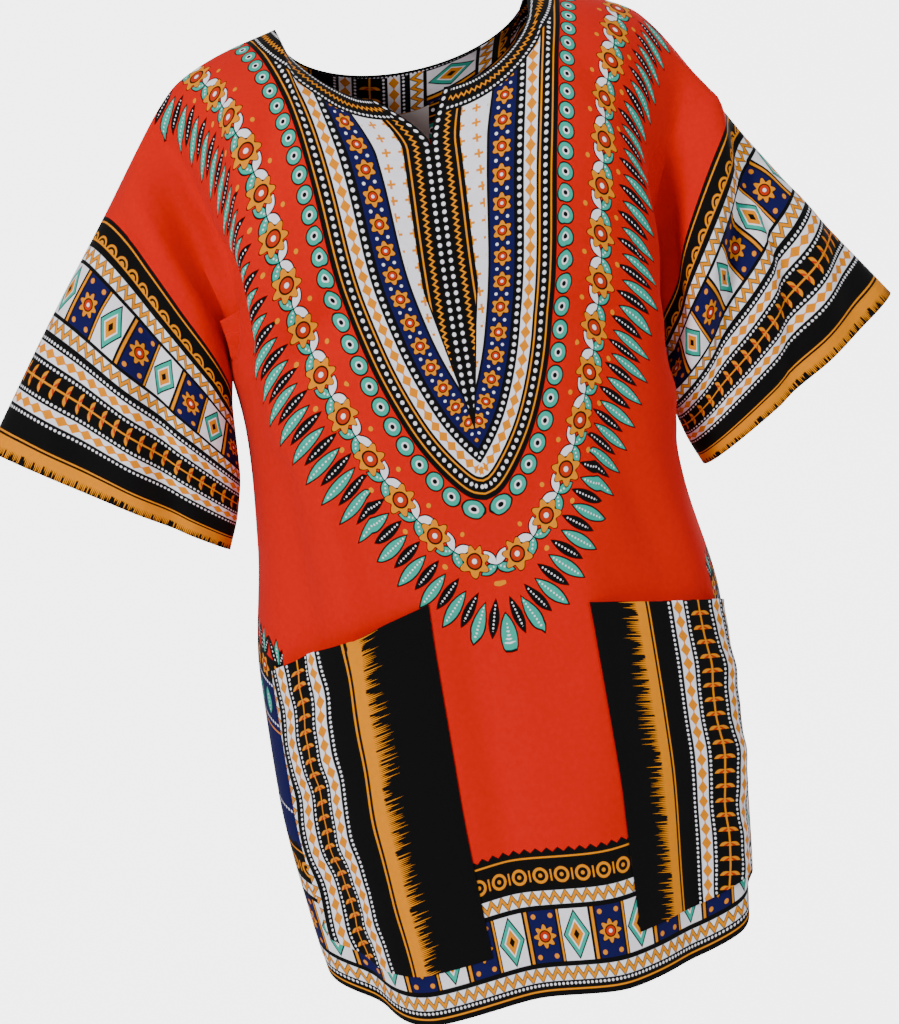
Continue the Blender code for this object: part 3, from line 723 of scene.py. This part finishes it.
def linear(colour):
    """A display colour as the linear one that shaders take."""
    shades = [c / 12.92 if c < 0.04045 else ((c + 0.055) / 1.055) ** 2.4 for c in colour]
    return (*shades, 1.0)


def uv_fields(tree, name):
    """The two coordinates of one of a piece's UV maps."""
    uv = tree.nodes.new("ShaderNodeUVMap")
    uv.uv_map = name
    parts = tree.nodes.new("ShaderNodeSeparateXYZ")
    tree.links.new(uv.outputs[0], parts.inputs[0])
    return Field(tree, parts.outputs[0]), Field(tree, parts.outputs[1])


def leaf(x, y, length, half):
    """How far inside a leaf that grows along y from 0 a point lies."""
    bulge = 1.0 - (y * (2 / length) - 1.0).math("POWER", 2.0)
    return bulge * half - x.far()


def turned(x, y, degrees):
    c, s = math.cos(math.radians(degrees)), math.sin(math.radians(degrees))
    return x * c + y * s, y * c - x * s


def lay_leaf(paint, x, y, length, half, colour, vein=True):
    """A leaf with a dark rim and, down its middle, a row of pale dots."""
    blade = leaf(x, y, length, half)
    paint.lay(blade + 0.11, "black")
    paint.lay(blade, colour)
    if vein:
        dotted = 0.075 - x.from_origin((y - 0.2).cell(0.3))
        paint.lay(dotted.low(y - 0.3).low(length - 0.4 - y), "white")


def rosette(paint, x, y, radius, petals):
    """A round many-petalled flower."""
    r = x.from_origin(y)
    turn = y.math("ARCTAN2", x) * float(petals)
    edge = (turn.math("COSINE") * 0.17 + 0.83) * radius - r
    paint.lay(edge + 0.08, "black")
    paint.lay(edge, "gold")
    for share, dye in ((0.52, "black"), (0.42, "rust"), (0.16, "white")):
        paint.lay((radius * share - r).low(edge), dye)


# The kinds of row. y is the height above the row's middle.
def dots(paint, along, y):
    paint.lay(0.11 - along.cell(0.36).from_origin(y), "white")


def bold_dots(paint, along, y):
    paint.lay(0.17 - along.cell(0.62).from_origin(y), "white")


def line(paint, along, y):
    paint.lay(0.07 - y.far(), "gold")


def wave(paint, along, y):
    rise = ((along / 0.5).part() - 0.5).far() * 0.7 - 0.17
    paint.lay(0.11 - (y - rise).far(), "gold")


def diamonds(paint, along, y):
    """A white band with gold diamonds strung along its middle."""
    y = y.far()
    paint.lay(0.52 - y, "white")
    paint.lay(0.44 - along.cell(1.1).far() * 0.8 - y, "gold")
    paint.lay(0.06 - y, "gold")


def wheat(paint, along, y):
    """Pairs of pointed gold leaves on a stem."""
    leaf_x, leaf_y = turned(along.cell(1.15) - 0.3, y.far(), -34)
    paint.lay(leaf(leaf_x, leaf_y, 1.2, 0.36), "gold")
    paint.lay(leaf(leaf_x, leaf_y, 0.9, 0.1), "rust")
    paint.lay(0.08 - y.far(), "gold")


def zigzag(paint, along, y):
    """A white band with a gold zigzag edged in green."""
    rise = ((along / 0.9).part() - 0.5).far() * 1.4 - 0.35
    off = (y - rise).far()
    inside = 0.55 - y.far()
    paint.lay(inside, "white")
    paint.lay((0.32 - off).low(inside), "green")
    paint.lay((0.2 - off).low(inside), "gold")


def rings(paint, along, y):
    """Gold rings round a dot, with a bar between them."""
    r = along.cell(1.75).from_origin(y)
    paint.lay(0.11 - (r - 0.52).far(), "gold")
    paint.lay(0.16 - r, "gold")
    paint.lay((0.07 - (along + 0.875).cell(1.75).far()).low(0.45 - y.far()), "gold")


def fans(paint, along, y):
    """Gold half rounds that stand on a line."""
    y = y + 0.45
    r = along.cell(1.4).from_origin(y)
    for radius, dye in ((0.62, "gold"), (0.44, "black"), (0.27, "gold")):
        paint.lay((radius - r).low(y), dye)
    paint.lay(0.07 - y.far(), "gold")


def panels(paint, along, y):
    """Oblong panels in turn: nested lozenges on white, gold bars, a rosette on navy."""
    cell = along.cell(5.6)
    inside = 2.05 - y.far()
    x = cell + 1.5
    paint.lay((1.2 - x.far()).low(inside), "white")
    rim = 1.14 - x.far() - y.far() * 0.57
    for inset, dye in ((0.0, "black"), (0.12, "teal"), (0.44, "white"), (0.56, "gold"), (0.9, "black")):
        paint.lay(rim - inset, dye)
    for place in (0.03, 2.77):
        paint.lay((0.12 - (cell - place).far()).low(inside), "gold")
    x = cell - 1.4
    paint.lay((1.1 - x.far()).low(inside), "navy")
    rosette(paint, x, y, 0.95, 8)
    paint.lay(0.2 - (x.far() - 0.72).from_origin(y.far() - 1.6), "gold")


def blooms(paint, along, y):
    """Small rosettes on a navy band, with pale dots between them."""
    paint.lay(1.0 - y.far(), "navy")
    rosette(paint, along.cell(2.1), y, 0.8, 6)
    paint.lay(0.13 - (along + 1.05).cell(2.1).from_origin(y.far() - 0.45), "white")


# The rows of each part of the print, by the height of each row's middle.
BORDER_ROWS = (
    (line, 1.85),
    (dots, 3.75), (diamonds, 4.6), (dots, 5.4),
    (wheat, 6.6),
    (dots, 7.75), (diamonds, 8.6), (dots, 9.4),
    (zigzag, 10.5), (panels, 13.4), (zigzag, 16.3),
    (fans, 17.9), (line, 18.9),
)
HEM_ROWS = (
    (line, 0.5), (dots, 0.95), (zigzag, 1.75),
    (panels, 4.75), (zigzag, 7.75),
    (rings, 9.5), (line, 10.9),
)
SIDE_ROWS = ((dots, 24.3), (dots, 21.1), (line, 20.5), (dots, 14.2))
SHIELD_ROWS = (
    (line, 0.2), (bold_dots, 0.72), (line, 1.2), (diamonds, 2.0), (bold_dots, 2.9), (blooms, 4.35),
)
NECK_ROWS = ((dots, 0.35), (wave, 1.15), (dots, 1.95))
STRIP_ROWS = ((bold_dots, 0.36), (wave, 1.2), (line, 1.9))


def draw_rows(paint, along, across, rows):
    for draw, at in rows:
        draw(paint, along, across - at)


def border_print(paint, along, across):
    """The border that edges the sleeves and that the pockets are cut from, from its edge in."""
    paint.lay(19.3 - across, "black")
    place = along / 0.14
    stroke = place.part() * -2.0 + 1.0
    fringe = across - 0.8 + (1.0 - stroke.far()) * (place.whole().chance() * 1.7 + 0.05)
    paint.lay(fringe.low(1.6 - across), "gold", 0.06)
    draw_rows(paint, along, across, BORDER_ROWS)


def hem_print(paint, along, height):
    """The rows above the hem, from the edge up."""
    tooth = ((along / 0.9).part() - 0.5).far() * 0.7
    paint.lay(11.3 + tooth - height, "black")
    paint.limit = (11.1 - height).shown()
    draw_rows(paint, along, height, HEM_ROWS)
    paint.limit = None


def side_print(paint, across, height):
    """The navy ground beside the side seam, and the leaves that edge it above."""
    paint.limit = (across.far() - 20.2).shown()
    x = across.cell(2.2)
    for lean in (-27, 0, 27):
        leaf_x, leaf_y = turned(x, height - 26.2, lean)
        lay_leaf(paint, leaf_x, leaf_y, 2.2, 0.28, "teal" if lean == 0 else "black")
    paint.lay(26.6 - height, "black")
    rosette(paint, x, height - 25.5, 0.85, 6)
    paint.lay(24.5 - height, "navy")
    lay_leaf(paint, x, height - 21.6, 2.2, 0.48, "teal")
    draw_rows(paint, across, height, SIDE_ROWS)
    paint.limit = None


def yoke_print(paint, across, height, front):
    """The pointed yoke: banded shield, buds, a garland and an edge of spear leaves."""
    along, off = uv_fields(paint.tree, "sprigs")
    lay_leaf(paint, (along + 1.1).cell(2.2), off + 1.3, 3.3, 0.44, "teal")
    lay_leaf(paint, along.cell(2.2), off + 1.7, 2.8, 0.33, "black")
    along, off = uv_fields(paint.tree, "rosettes")
    stem = (along * (math.pi / 1.9)).sine() * 0.7
    paint.lay(0.12 - (off - stem).far(), "black")
    for lean, dye in ((52, "teal"), (-52, "teal"), (128, "white"), (-128, "white")):
        x, y = turned((along + 1.9).cell(3.8), off, lean)
        lay_leaf(paint, x, y, 1.5, 0.34, dye, dye == "teal")
    rosette(paint, along.cell(3.8), off, 1.3, 7)
    paint.lay(0.2 - (along + 1.9).cell(3.8).from_origin(off.far() - 1.5), "gold")
    along, off = uv_fields(paint.tree, "shield")
    r = along.cell(1.65).from_origin(off - 1.1)
    for radius, dye in ((0.77, "black"), (0.66, "teal"), (0.32, "white"), (0.19, "black")):
        paint.lay(radius - r, dye)
    inward = 0.0 - off
    paint.lay(inward + 0.3, "black")
    paint.limit = (inward + 0.1).shown()
    draw_rows(paint, along, inward, SHIELD_ROWS)
    paint.lay(inward - 5.55, "white")
    x, y = (across.far() - 2.95).cell(1.3), height.cell(1.3)
    cross = (0.1 - x.far()).low(0.36 - y.far()).high((0.1 - y.far()).low(0.36 - x.far()))
    paint.lay(cross.low(inward - 5.7), "gold")
    if front:
        strip = 2.15 - across.far() - (height - 26.0).high(0.0) * 0.21
        paint.lay(strip + 0.15, "black")
        paint.limit = strip.shown()
        draw_rows(paint, height, across.far(), STRIP_ROWS)
    paint.limit = None
    neck_band(paint, across, height, front)


def neck_band(paint, across, height, front):
    """The dotted band along the neckline."""
    share_x = across.far() / NECK_HALF_WIDTH
    share_y = height / NECK_CUT_DROP[FRONT if front else BACK]
    off = (share_x.from_origin(share_y) - 1.0) * 9.6
    along = share_y.math("ARCTAN2", share_x) * 11.0
    if front:
        paint.limit = (across.far() - 0.9).shown()
    paint.lay(2.3 - off, "black")
    draw_rows(paint, along, off, NECK_ROWS)
    paint.limit = None


def new_material(name, **constants):
    """A node material and its tree, with its shader's constants set."""
    material = bpy.data.materials.new(name)
    material.use_nodes = True
    shader = material.node_tree.nodes["Principled BSDF"]
    for key, value in constants.items():
        shader.inputs[key.replace("_", " ")].default_value = value
    return material, material.node_tree


def set_colour(tree, colour, *sockets):
    for socket in sockets:
        tree.links.new(colour, tree.nodes["Principled BSDF"].inputs[socket])


def noise(tree, scale, detail, roughness):
    """A noise over the piece as it was built."""
    node = tree.nodes.new("ShaderNodeTexNoise")
    for key, value in (("Scale", scale), ("Detail", detail), ("Roughness", roughness)):
        node.inputs[key].default_value = value
    place = tree.nodes.new("ShaderNodeTexCoord")
    tree.links.new(place.outputs["Object"], node.inputs["Vector"])
    return Field(tree, node.outputs["Fac"])


def add_bump(tree, height, strength, distance):
    bump = tree.nodes.new("ShaderNodeBump")
    bump.inputs["Strength"].default_value = strength
    bump.inputs["Distance"].default_value = distance
    tree.links.new(height.source, bump.inputs["Height"])
    tree.links.new(bump.outputs[0], tree.nodes["Principled BSDF"].inputs["Normal"])


def cotton(name, draw, stitch_rows, dyes, ground="orange"):
    """A plain-weave cotton whose print is drawn by the given function."""
    material, tree = new_material(
        name, Roughness=0.82, Sheen_Weight=0.03, Sheen_Roughness=0.5, Specular_IOR_Level=0.08
    )
    paint = Print(tree, dyes, ground)
    draw(paint)
    fade = noise(tree, 260.0, 2.0, 0.5) * 0.16 + 0.92
    set_colour(tree, mixed(tree, 1.0, paint.colour, fade.source, "MULTIPLY"), "Base Color")
    cloth_u, cloth_v = uv_fields(tree, "cloth")
    weave = (cloth_u * 125.0).sine() * (cloth_v * 125.0).sine()
    height = noise(tree, 13.0, 4.0, 0.55) * 0.25 + weave * 0.002
    for coordinate, at in stitch_rows:
        off = uv_fields(tree, "edge")[coordinate] - at
        dip = (off * off).math("MULTIPLY_ADD", -160.0, 1.0, clamp=True)
        height = height - dip * 0.03
    add_bump(tree, height, 0.5, 0.01)
    return material


def tape(colour):
    """A pale ribbed tape."""
    material, tree = new_material("label_tape_weave", Roughness=0.6)
    _, down = uv_fields(tree, "cloth")
    rib = (down * 60.0).sine() * 0.04 + 0.96
    set_colour(tree, mixed(tree, 1.0, colour, rib.source, "MULTIPLY"), "Base Color")
    add_bump(tree, rib, 0.3, 0.001)
    return material


def pale_paper(name, shade, glow=0.0):
    material, tree = new_material(name, Roughness=0.9, Emission_Strength=glow)
    grain = noise(tree, 40.0, 2.0, 0.5)
    darker = (shade - 0.01, shade - 0.01, shade - 0.01, 1)
    paper = mixed(tree, grain.source, darker, (shade, shade, shade, 1))
    set_colour(tree, paper, "Base Color", "Emission Color")
    return material


def length_of(label, about, metres):
    return bpy.props.FloatProperty(name=label, description=about, default=metres, unit="LENGTH")


def angle_of(label, about, degrees):
    turn = math.radians(degrees)
    return bpy.props.FloatProperty(name=label, description=about, default=turn, subtype="ANGLE")


def dye_of(label, about, shade):
    return bpy.props.FloatVectorProperty(
        name=label, description=about, default=shade, subtype="COLOR_GAMMA"
    )


class TunicSizes(bpy.types.PropertyGroup):
    cloth: length_of("Cloth thickness", "Of the front, the back and the pockets", 0.0007)
    lining: length_of("Lining thickness", "Of the neck facing and the label", 0.0005)
    grid: length_of("Panel grid", "Spacing of the points of the front and the back", 0.0045)
    patch_grid: length_of("Patch grid", "Spacing of the points of pockets and facing", 0.0035)
    camera_distance: length_of("Camera distance", "From the camera to the tunic's middle", 2.4)
    camera_azimuth: angle_of("Camera azimuth", "How far the camera stands to the right", -7.0)
    camera_roll: angle_of("Camera roll", "How far the picture is turned", 9.6)
    camera_lens: bpy.props.FloatProperty(
        name="Focal length",
        description="In millimetres, on a sensor 36 mm wide",
        default=120.5,
    )


class TunicColours(bpy.types.PropertyGroup):
    orange: dye_of("Orange", "The cloth's ground", (0.80, 0.05, 0.0))
    black: dye_of("Black", "Bands and outlines", (0.035, 0.03, 0.03))
    gold: dye_of("Gold", "Rosettes, zigzags and lines", (0.87, 0.52, 0.0))
    teal: dye_of("Teal", "Leaves", (0.18, 0.64, 0.56))
    navy: dye_of("Navy", "Panels", (0.06, 0.06, 0.28))
    white: dye_of("White", "Dots and bands", (0.93, 0.92, 0.95))
    green: dye_of("Green", "Zigzag edges", (0.10, 0.26, 0.16))
    rust: dye_of("Rust", "Hearts of the rosettes", (0.72, 0.18, 0.03))
    label: dye_of("Label", "The bare label", (0.86, 0.85, 0.83))


def dyes_of(context):
    colours = context.scene.tunic_colours
    return {name: linear(getattr(colours, name)) for name in TunicColours.__annotations__}


def body_print(front, paint):
    """The print of the front's or the back's upper body."""
    across, height = uv_fields(paint.tree, "cloth")
    yoke_print(paint, across, height, front)


def sleeve_print(paint):
    _, height = uv_fields(paint.tree, "cloth")
    _, from_cuff = uv_fields(paint.tree, "edge")
    border_print(paint, height, from_cuff)


def skirt_print(beside, paint):
    """The rows above the hem and, beside the side seams, the navy ground above the rows."""
    across, _ = uv_fields(paint.tree, "cloth")
    from_hem, _ = uv_fields(paint.tree, "edge")
    if beside:
        side_print(paint, across, from_hem)
    hem_print(paint, across, from_hem)


# The prints of a panel after its body's, by their place in its list of materials.
PANEL_PRINTS = (
    ("sleeve_print", sleeve_print),
    ("hem_print", partial(skirt_print, False)),
    ("side_print", partial(skirt_print, True)),
)
SLEEVE_FACES, HEM_FACES, SIDE_FACES = 1, 2, 3


def sort_faces(mesh):
    """Gives each face the material that holds the print at its place in the cut."""
    starts = np.zeros(len(mesh.polygons), np.int32)
    mesh.polygons.foreach_get("loop_start", starts)
    flat = {}
    for name in ("cloth", "edge"):
        values = np.zeros(len(mesh.loops) * 2, np.float32)
        mesh.uv_layers[name].data.foreach_get("uv", values)
        flat[name] = values.reshape(-1, 2)[starts]
    across = abs(flat["cloth"][:, 0])
    from_hem, from_cuff = flat["edge"].T
    slots = np.zeros(len(starts), np.int32)
    slots[from_hem < HEM_PRINT_TOP] = HEM_FACES
    slots[(from_hem < SIDE_PRINT_TOP) & (across > SIDE_PRINT_START)] = SIDE_FACES
    slots[from_cuff < SLEEVE_PRINT_TOP] = SLEEVE_FACES
    mesh.polygons.foreach_set("material_index", slots)
    mesh.update()


def band_print(paint):
    """The border alone, as the pockets and the facing are cut from it."""
    along, across = uv_fields(paint.tree, "band")
    border_print(paint, along, across)


def dress_panel(context, name, face):
    sizes = context.scene.tunic_sizes
    obj = panel_sheet(name + "_cloth", face, sizes.grid / CM)
    thicken(obj, sizes.cloth)
    dyes = dyes_of(context)
    stitches = [(FIRST_EDGE, 1.2), (SECOND_EDGE, 1.4)]
    draw = partial(body_print, face == FRONT)
    obj.data.materials.append(cotton(name + "_print", draw, stitches, dyes))
    for print_name, draw in PANEL_PRINTS:
        made = bpy.data.materials.get(print_name)
        obj.data.materials.append(made or cotton(print_name, draw, stitches, dyes))
    sort_faces(obj.data)
    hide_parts(name)
    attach(obj, "root")


class TUNIC_OT_front(bpy.types.Operator):
    """Make the front, with its halves of both sleeves, its drape and its print"""

    bl_idname = "tunic.front"
    bl_label = "Front"

    def execute(self, context):
        dress_panel(context, "front", FRONT)
        return {"FINISHED"}


class TUNIC_OT_back(bpy.types.Operator):
    """Make the back, with its halves of both sleeves, its drape and its print"""

    bl_idname = "tunic.back"
    bl_label = "Back"

    def execute(self, context):
        dress_panel(context, "back", BACK)
        return {"FINISHED"}


class TUNIC_OT_pockets(bpy.types.Operator):
    """Make the two patch pockets, cut from the border print with its bands upright"""

    bl_idname = "tunic.pockets"
    bl_label = "Pockets"

    def execute(self, context):
        sizes = context.scene.tunic_sizes
        dyes = dyes_of(context)
        stitches = [(FIRST_EDGE, 2.6), (SECOND_EDGE, 0.25)]
        material = cotton("pocket_print", band_print, stitches, dyes, "black")
        for name, side in (("pocket_left", LEFT), ("pocket_right", RIGHT)):
            obj = pocket_sheet(name + "_cloth", side, sizes)
            obj.data.materials.append(material)
            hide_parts(name)
            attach(obj, "root")
        return {"FINISHED"}


class TUNIC_OT_neck_facing(bpy.types.Operator):
    """Make the facing inside the back of the neck, cut from the border print"""

    bl_idname = "tunic.neck_facing"
    bl_label = "Neck facing"

    def execute(self, context):
        sizes = context.scene.tunic_sizes
        dyes = dyes_of(context)
        step = sizes.patch_grid / CM
        shares = np.linspace(FACING_START, FACING_FOOT, LINING_ROWS)
        obj = lining_sheet("neck_facing_cloth", FACING_HALF_WIDTH, shares, step, sizes)
        stitches = [(SECOND_EDGE, 0.3)]
        obj.data.materials.append(cotton("facing_print", band_print, stitches, dyes, "black"))
        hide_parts("neck_facing")
        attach(obj, "root")
        return {"FINISHED"}


class TUNIC_OT_label(bpy.types.Operator):
    """Make the bare label under the facing"""

    bl_idname = "tunic.label"
    bl_label = "Label"

    def execute(self, context):
        sizes = context.scene.tunic_sizes
        shares = np.linspace(LABEL_START, LABEL_END, LINING_ROWS)
        obj = lining_sheet("label_tape", LABEL_HALF_WIDTH, shares, LABEL_GRID, sizes)
        obj.data.materials.append(tape(dyes_of(context)["label"]))
        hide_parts("label")
        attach(obj, "root")
        return {"FINISHED"}


# Each light's name, place, width in metres and power in watts.
LIGHTS = (
    ("key_light", (-1.9, -2.3, 0.5), 0.8, 86),
    ("fill_light", (2.2, -1.6, -0.1), 1.0, 21),
    ("top_light", (0.2, -0.6, 2.0), 1.2, 18),
    ("back_light", (1.7, 2.4, 0.5), 1.2, 34),
)
LIT_POINT = Vector((0, 0, -0.4))
CAMERA_AIM = Vector((-0.0285, 0, -0.399))
CAMERA_ROUND = Vector((0, 0, -0.15))  # what the camera's distance and azimuth are from
UPRIGHT = Vector((0, 0, 1))


def soft_light(name, place, size, power):
    bpy.ops.object.light_add(type="AREA", location=place)
    lamp = bpy.context.object
    lamp.name = name
    lamp.data.shape = "DISK"
    lamp.data.size = size
    lamp.data.energy = power
    lamp.rotation_euler = (Vector(place) - LIT_POINT).to_track_quat("Z", "Y").to_euler()


def paper_plane(name, place, tilt, shade, glow=0.0):
    bpy.ops.mesh.primitive_plane_add(size=14, location=place, rotation=(tilt, 0, 0))
    plane = bpy.context.object
    plane.name = name
    plane.data.materials.append(pale_paper(name + "_paper", shade, glow))
    return plane


class TUNIC_OT_stage(bpy.types.Operator):
    """Make the pale sweep, the soft lights and the camera"""

    bl_idname = "tunic.stage"
    bl_label = "Stage"

    def execute(self, context):
        sizes = context.scene.tunic_sizes
        paper_plane("floor", (0, 0, -1.9), 0, 0.88)
        wall = paper_plane("backdrop", (0, 3.2, 3.0), math.pi / 2, 0.9, 4.5)
        wall.visible_diffuse = False
        wall.visible_glossy = False
        for name, place, size, power in LIGHTS:
            soft_light(name, place, size, power)
        world = bpy.data.worlds.new("soft_room")
        world.use_nodes = True
        glow = world.node_tree.nodes["Background"].inputs
        glow["Color"].default_value = (0.95, 0.97, 1.0, 1)
        glow["Strength"].default_value = 0.4
        context.scene.world = world
        self.add_camera(context, sizes)
        return {"FINISHED"}

    def add_camera(self, context, sizes):
        turn = sizes.camera_azimuth
        away = Vector((math.sin(turn), -math.cos(turn), 0)) * sizes.camera_distance
        place = CAMERA_ROUND + away
        ahead = (CAMERA_AIM - place).normalized()
        level = ahead.cross(UPRIGHT).normalized()
        upright = level.cross(ahead)
        roll = sizes.camera_roll
        right = level * math.cos(roll) - upright * math.sin(roll)
        up = level * math.sin(roll) + upright * math.cos(roll)
        bpy.ops.object.camera_add()
        camera = context.object
        camera.name = "camera"
        axes = Matrix((right, up, -ahead)).transposed()
        camera.matrix_world = Matrix.Translation(place) @ axes.to_4x4()
        camera.data.sensor_fit = "HORIZONTAL"
        camera.data.sensor_width = 36
        camera.data.lens = sizes.camera_lens
        camera.data.dof.use_dof = False
        context.scene.camera = camera


class TUNIC_PT_build(bpy.types.Panel):
    bl_label = "Dashiki tunic"
    bl_idname = "TUNIC_PT_build"
    bl_space_type = "VIEW_3D"
    bl_region_type = "UI"
    bl_category = "Tunic"

    def draw(self, context):
        column = self.layout.column()
        for operator in OPERATORS:
            column.operator(operator.bl_idname)
        for group in (context.scene.tunic_sizes, context.scene.tunic_colours):
            box = self.layout.box()
            for name in group.__annotations__:
                box.prop(group, name)


OPERATORS = (
    TUNIC_OT_front,
    TUNIC_OT_back,
    TUNIC_OT_pockets,
    TUNIC_OT_neck_facing,
    TUNIC_OT_label,
    TUNIC_OT_stage,
)
CLASSES = (TunicSizes, TunicColours, *OPERATORS, TUNIC_PT_build)


def register():
    for each in CLASSES:
        bpy.utils.register_class(each)
    bpy.types.Scene.tunic_sizes = bpy.props.PointerProperty(type=TunicSizes)
    bpy.types.Scene.tunic_colours = bpy.props.PointerProperty(type=TunicColours)


def unregister():
    del bpy.types.Scene.tunic_colours
    del bpy.types.Scene.tunic_sizes
    for each in reversed(CLASSES):
        bpy.utils.unregister_class(each)


def main():
    register()
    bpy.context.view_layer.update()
    bpy.ops.tunic.front()
    bpy.ops.tunic.back()
    bpy.ops.tunic.pockets()
    bpy.ops.tunic.neck_facing()
    bpy.ops.tunic.label()
    bpy.ops.tunic.stage()


if __name__ == "__main__":
    main()
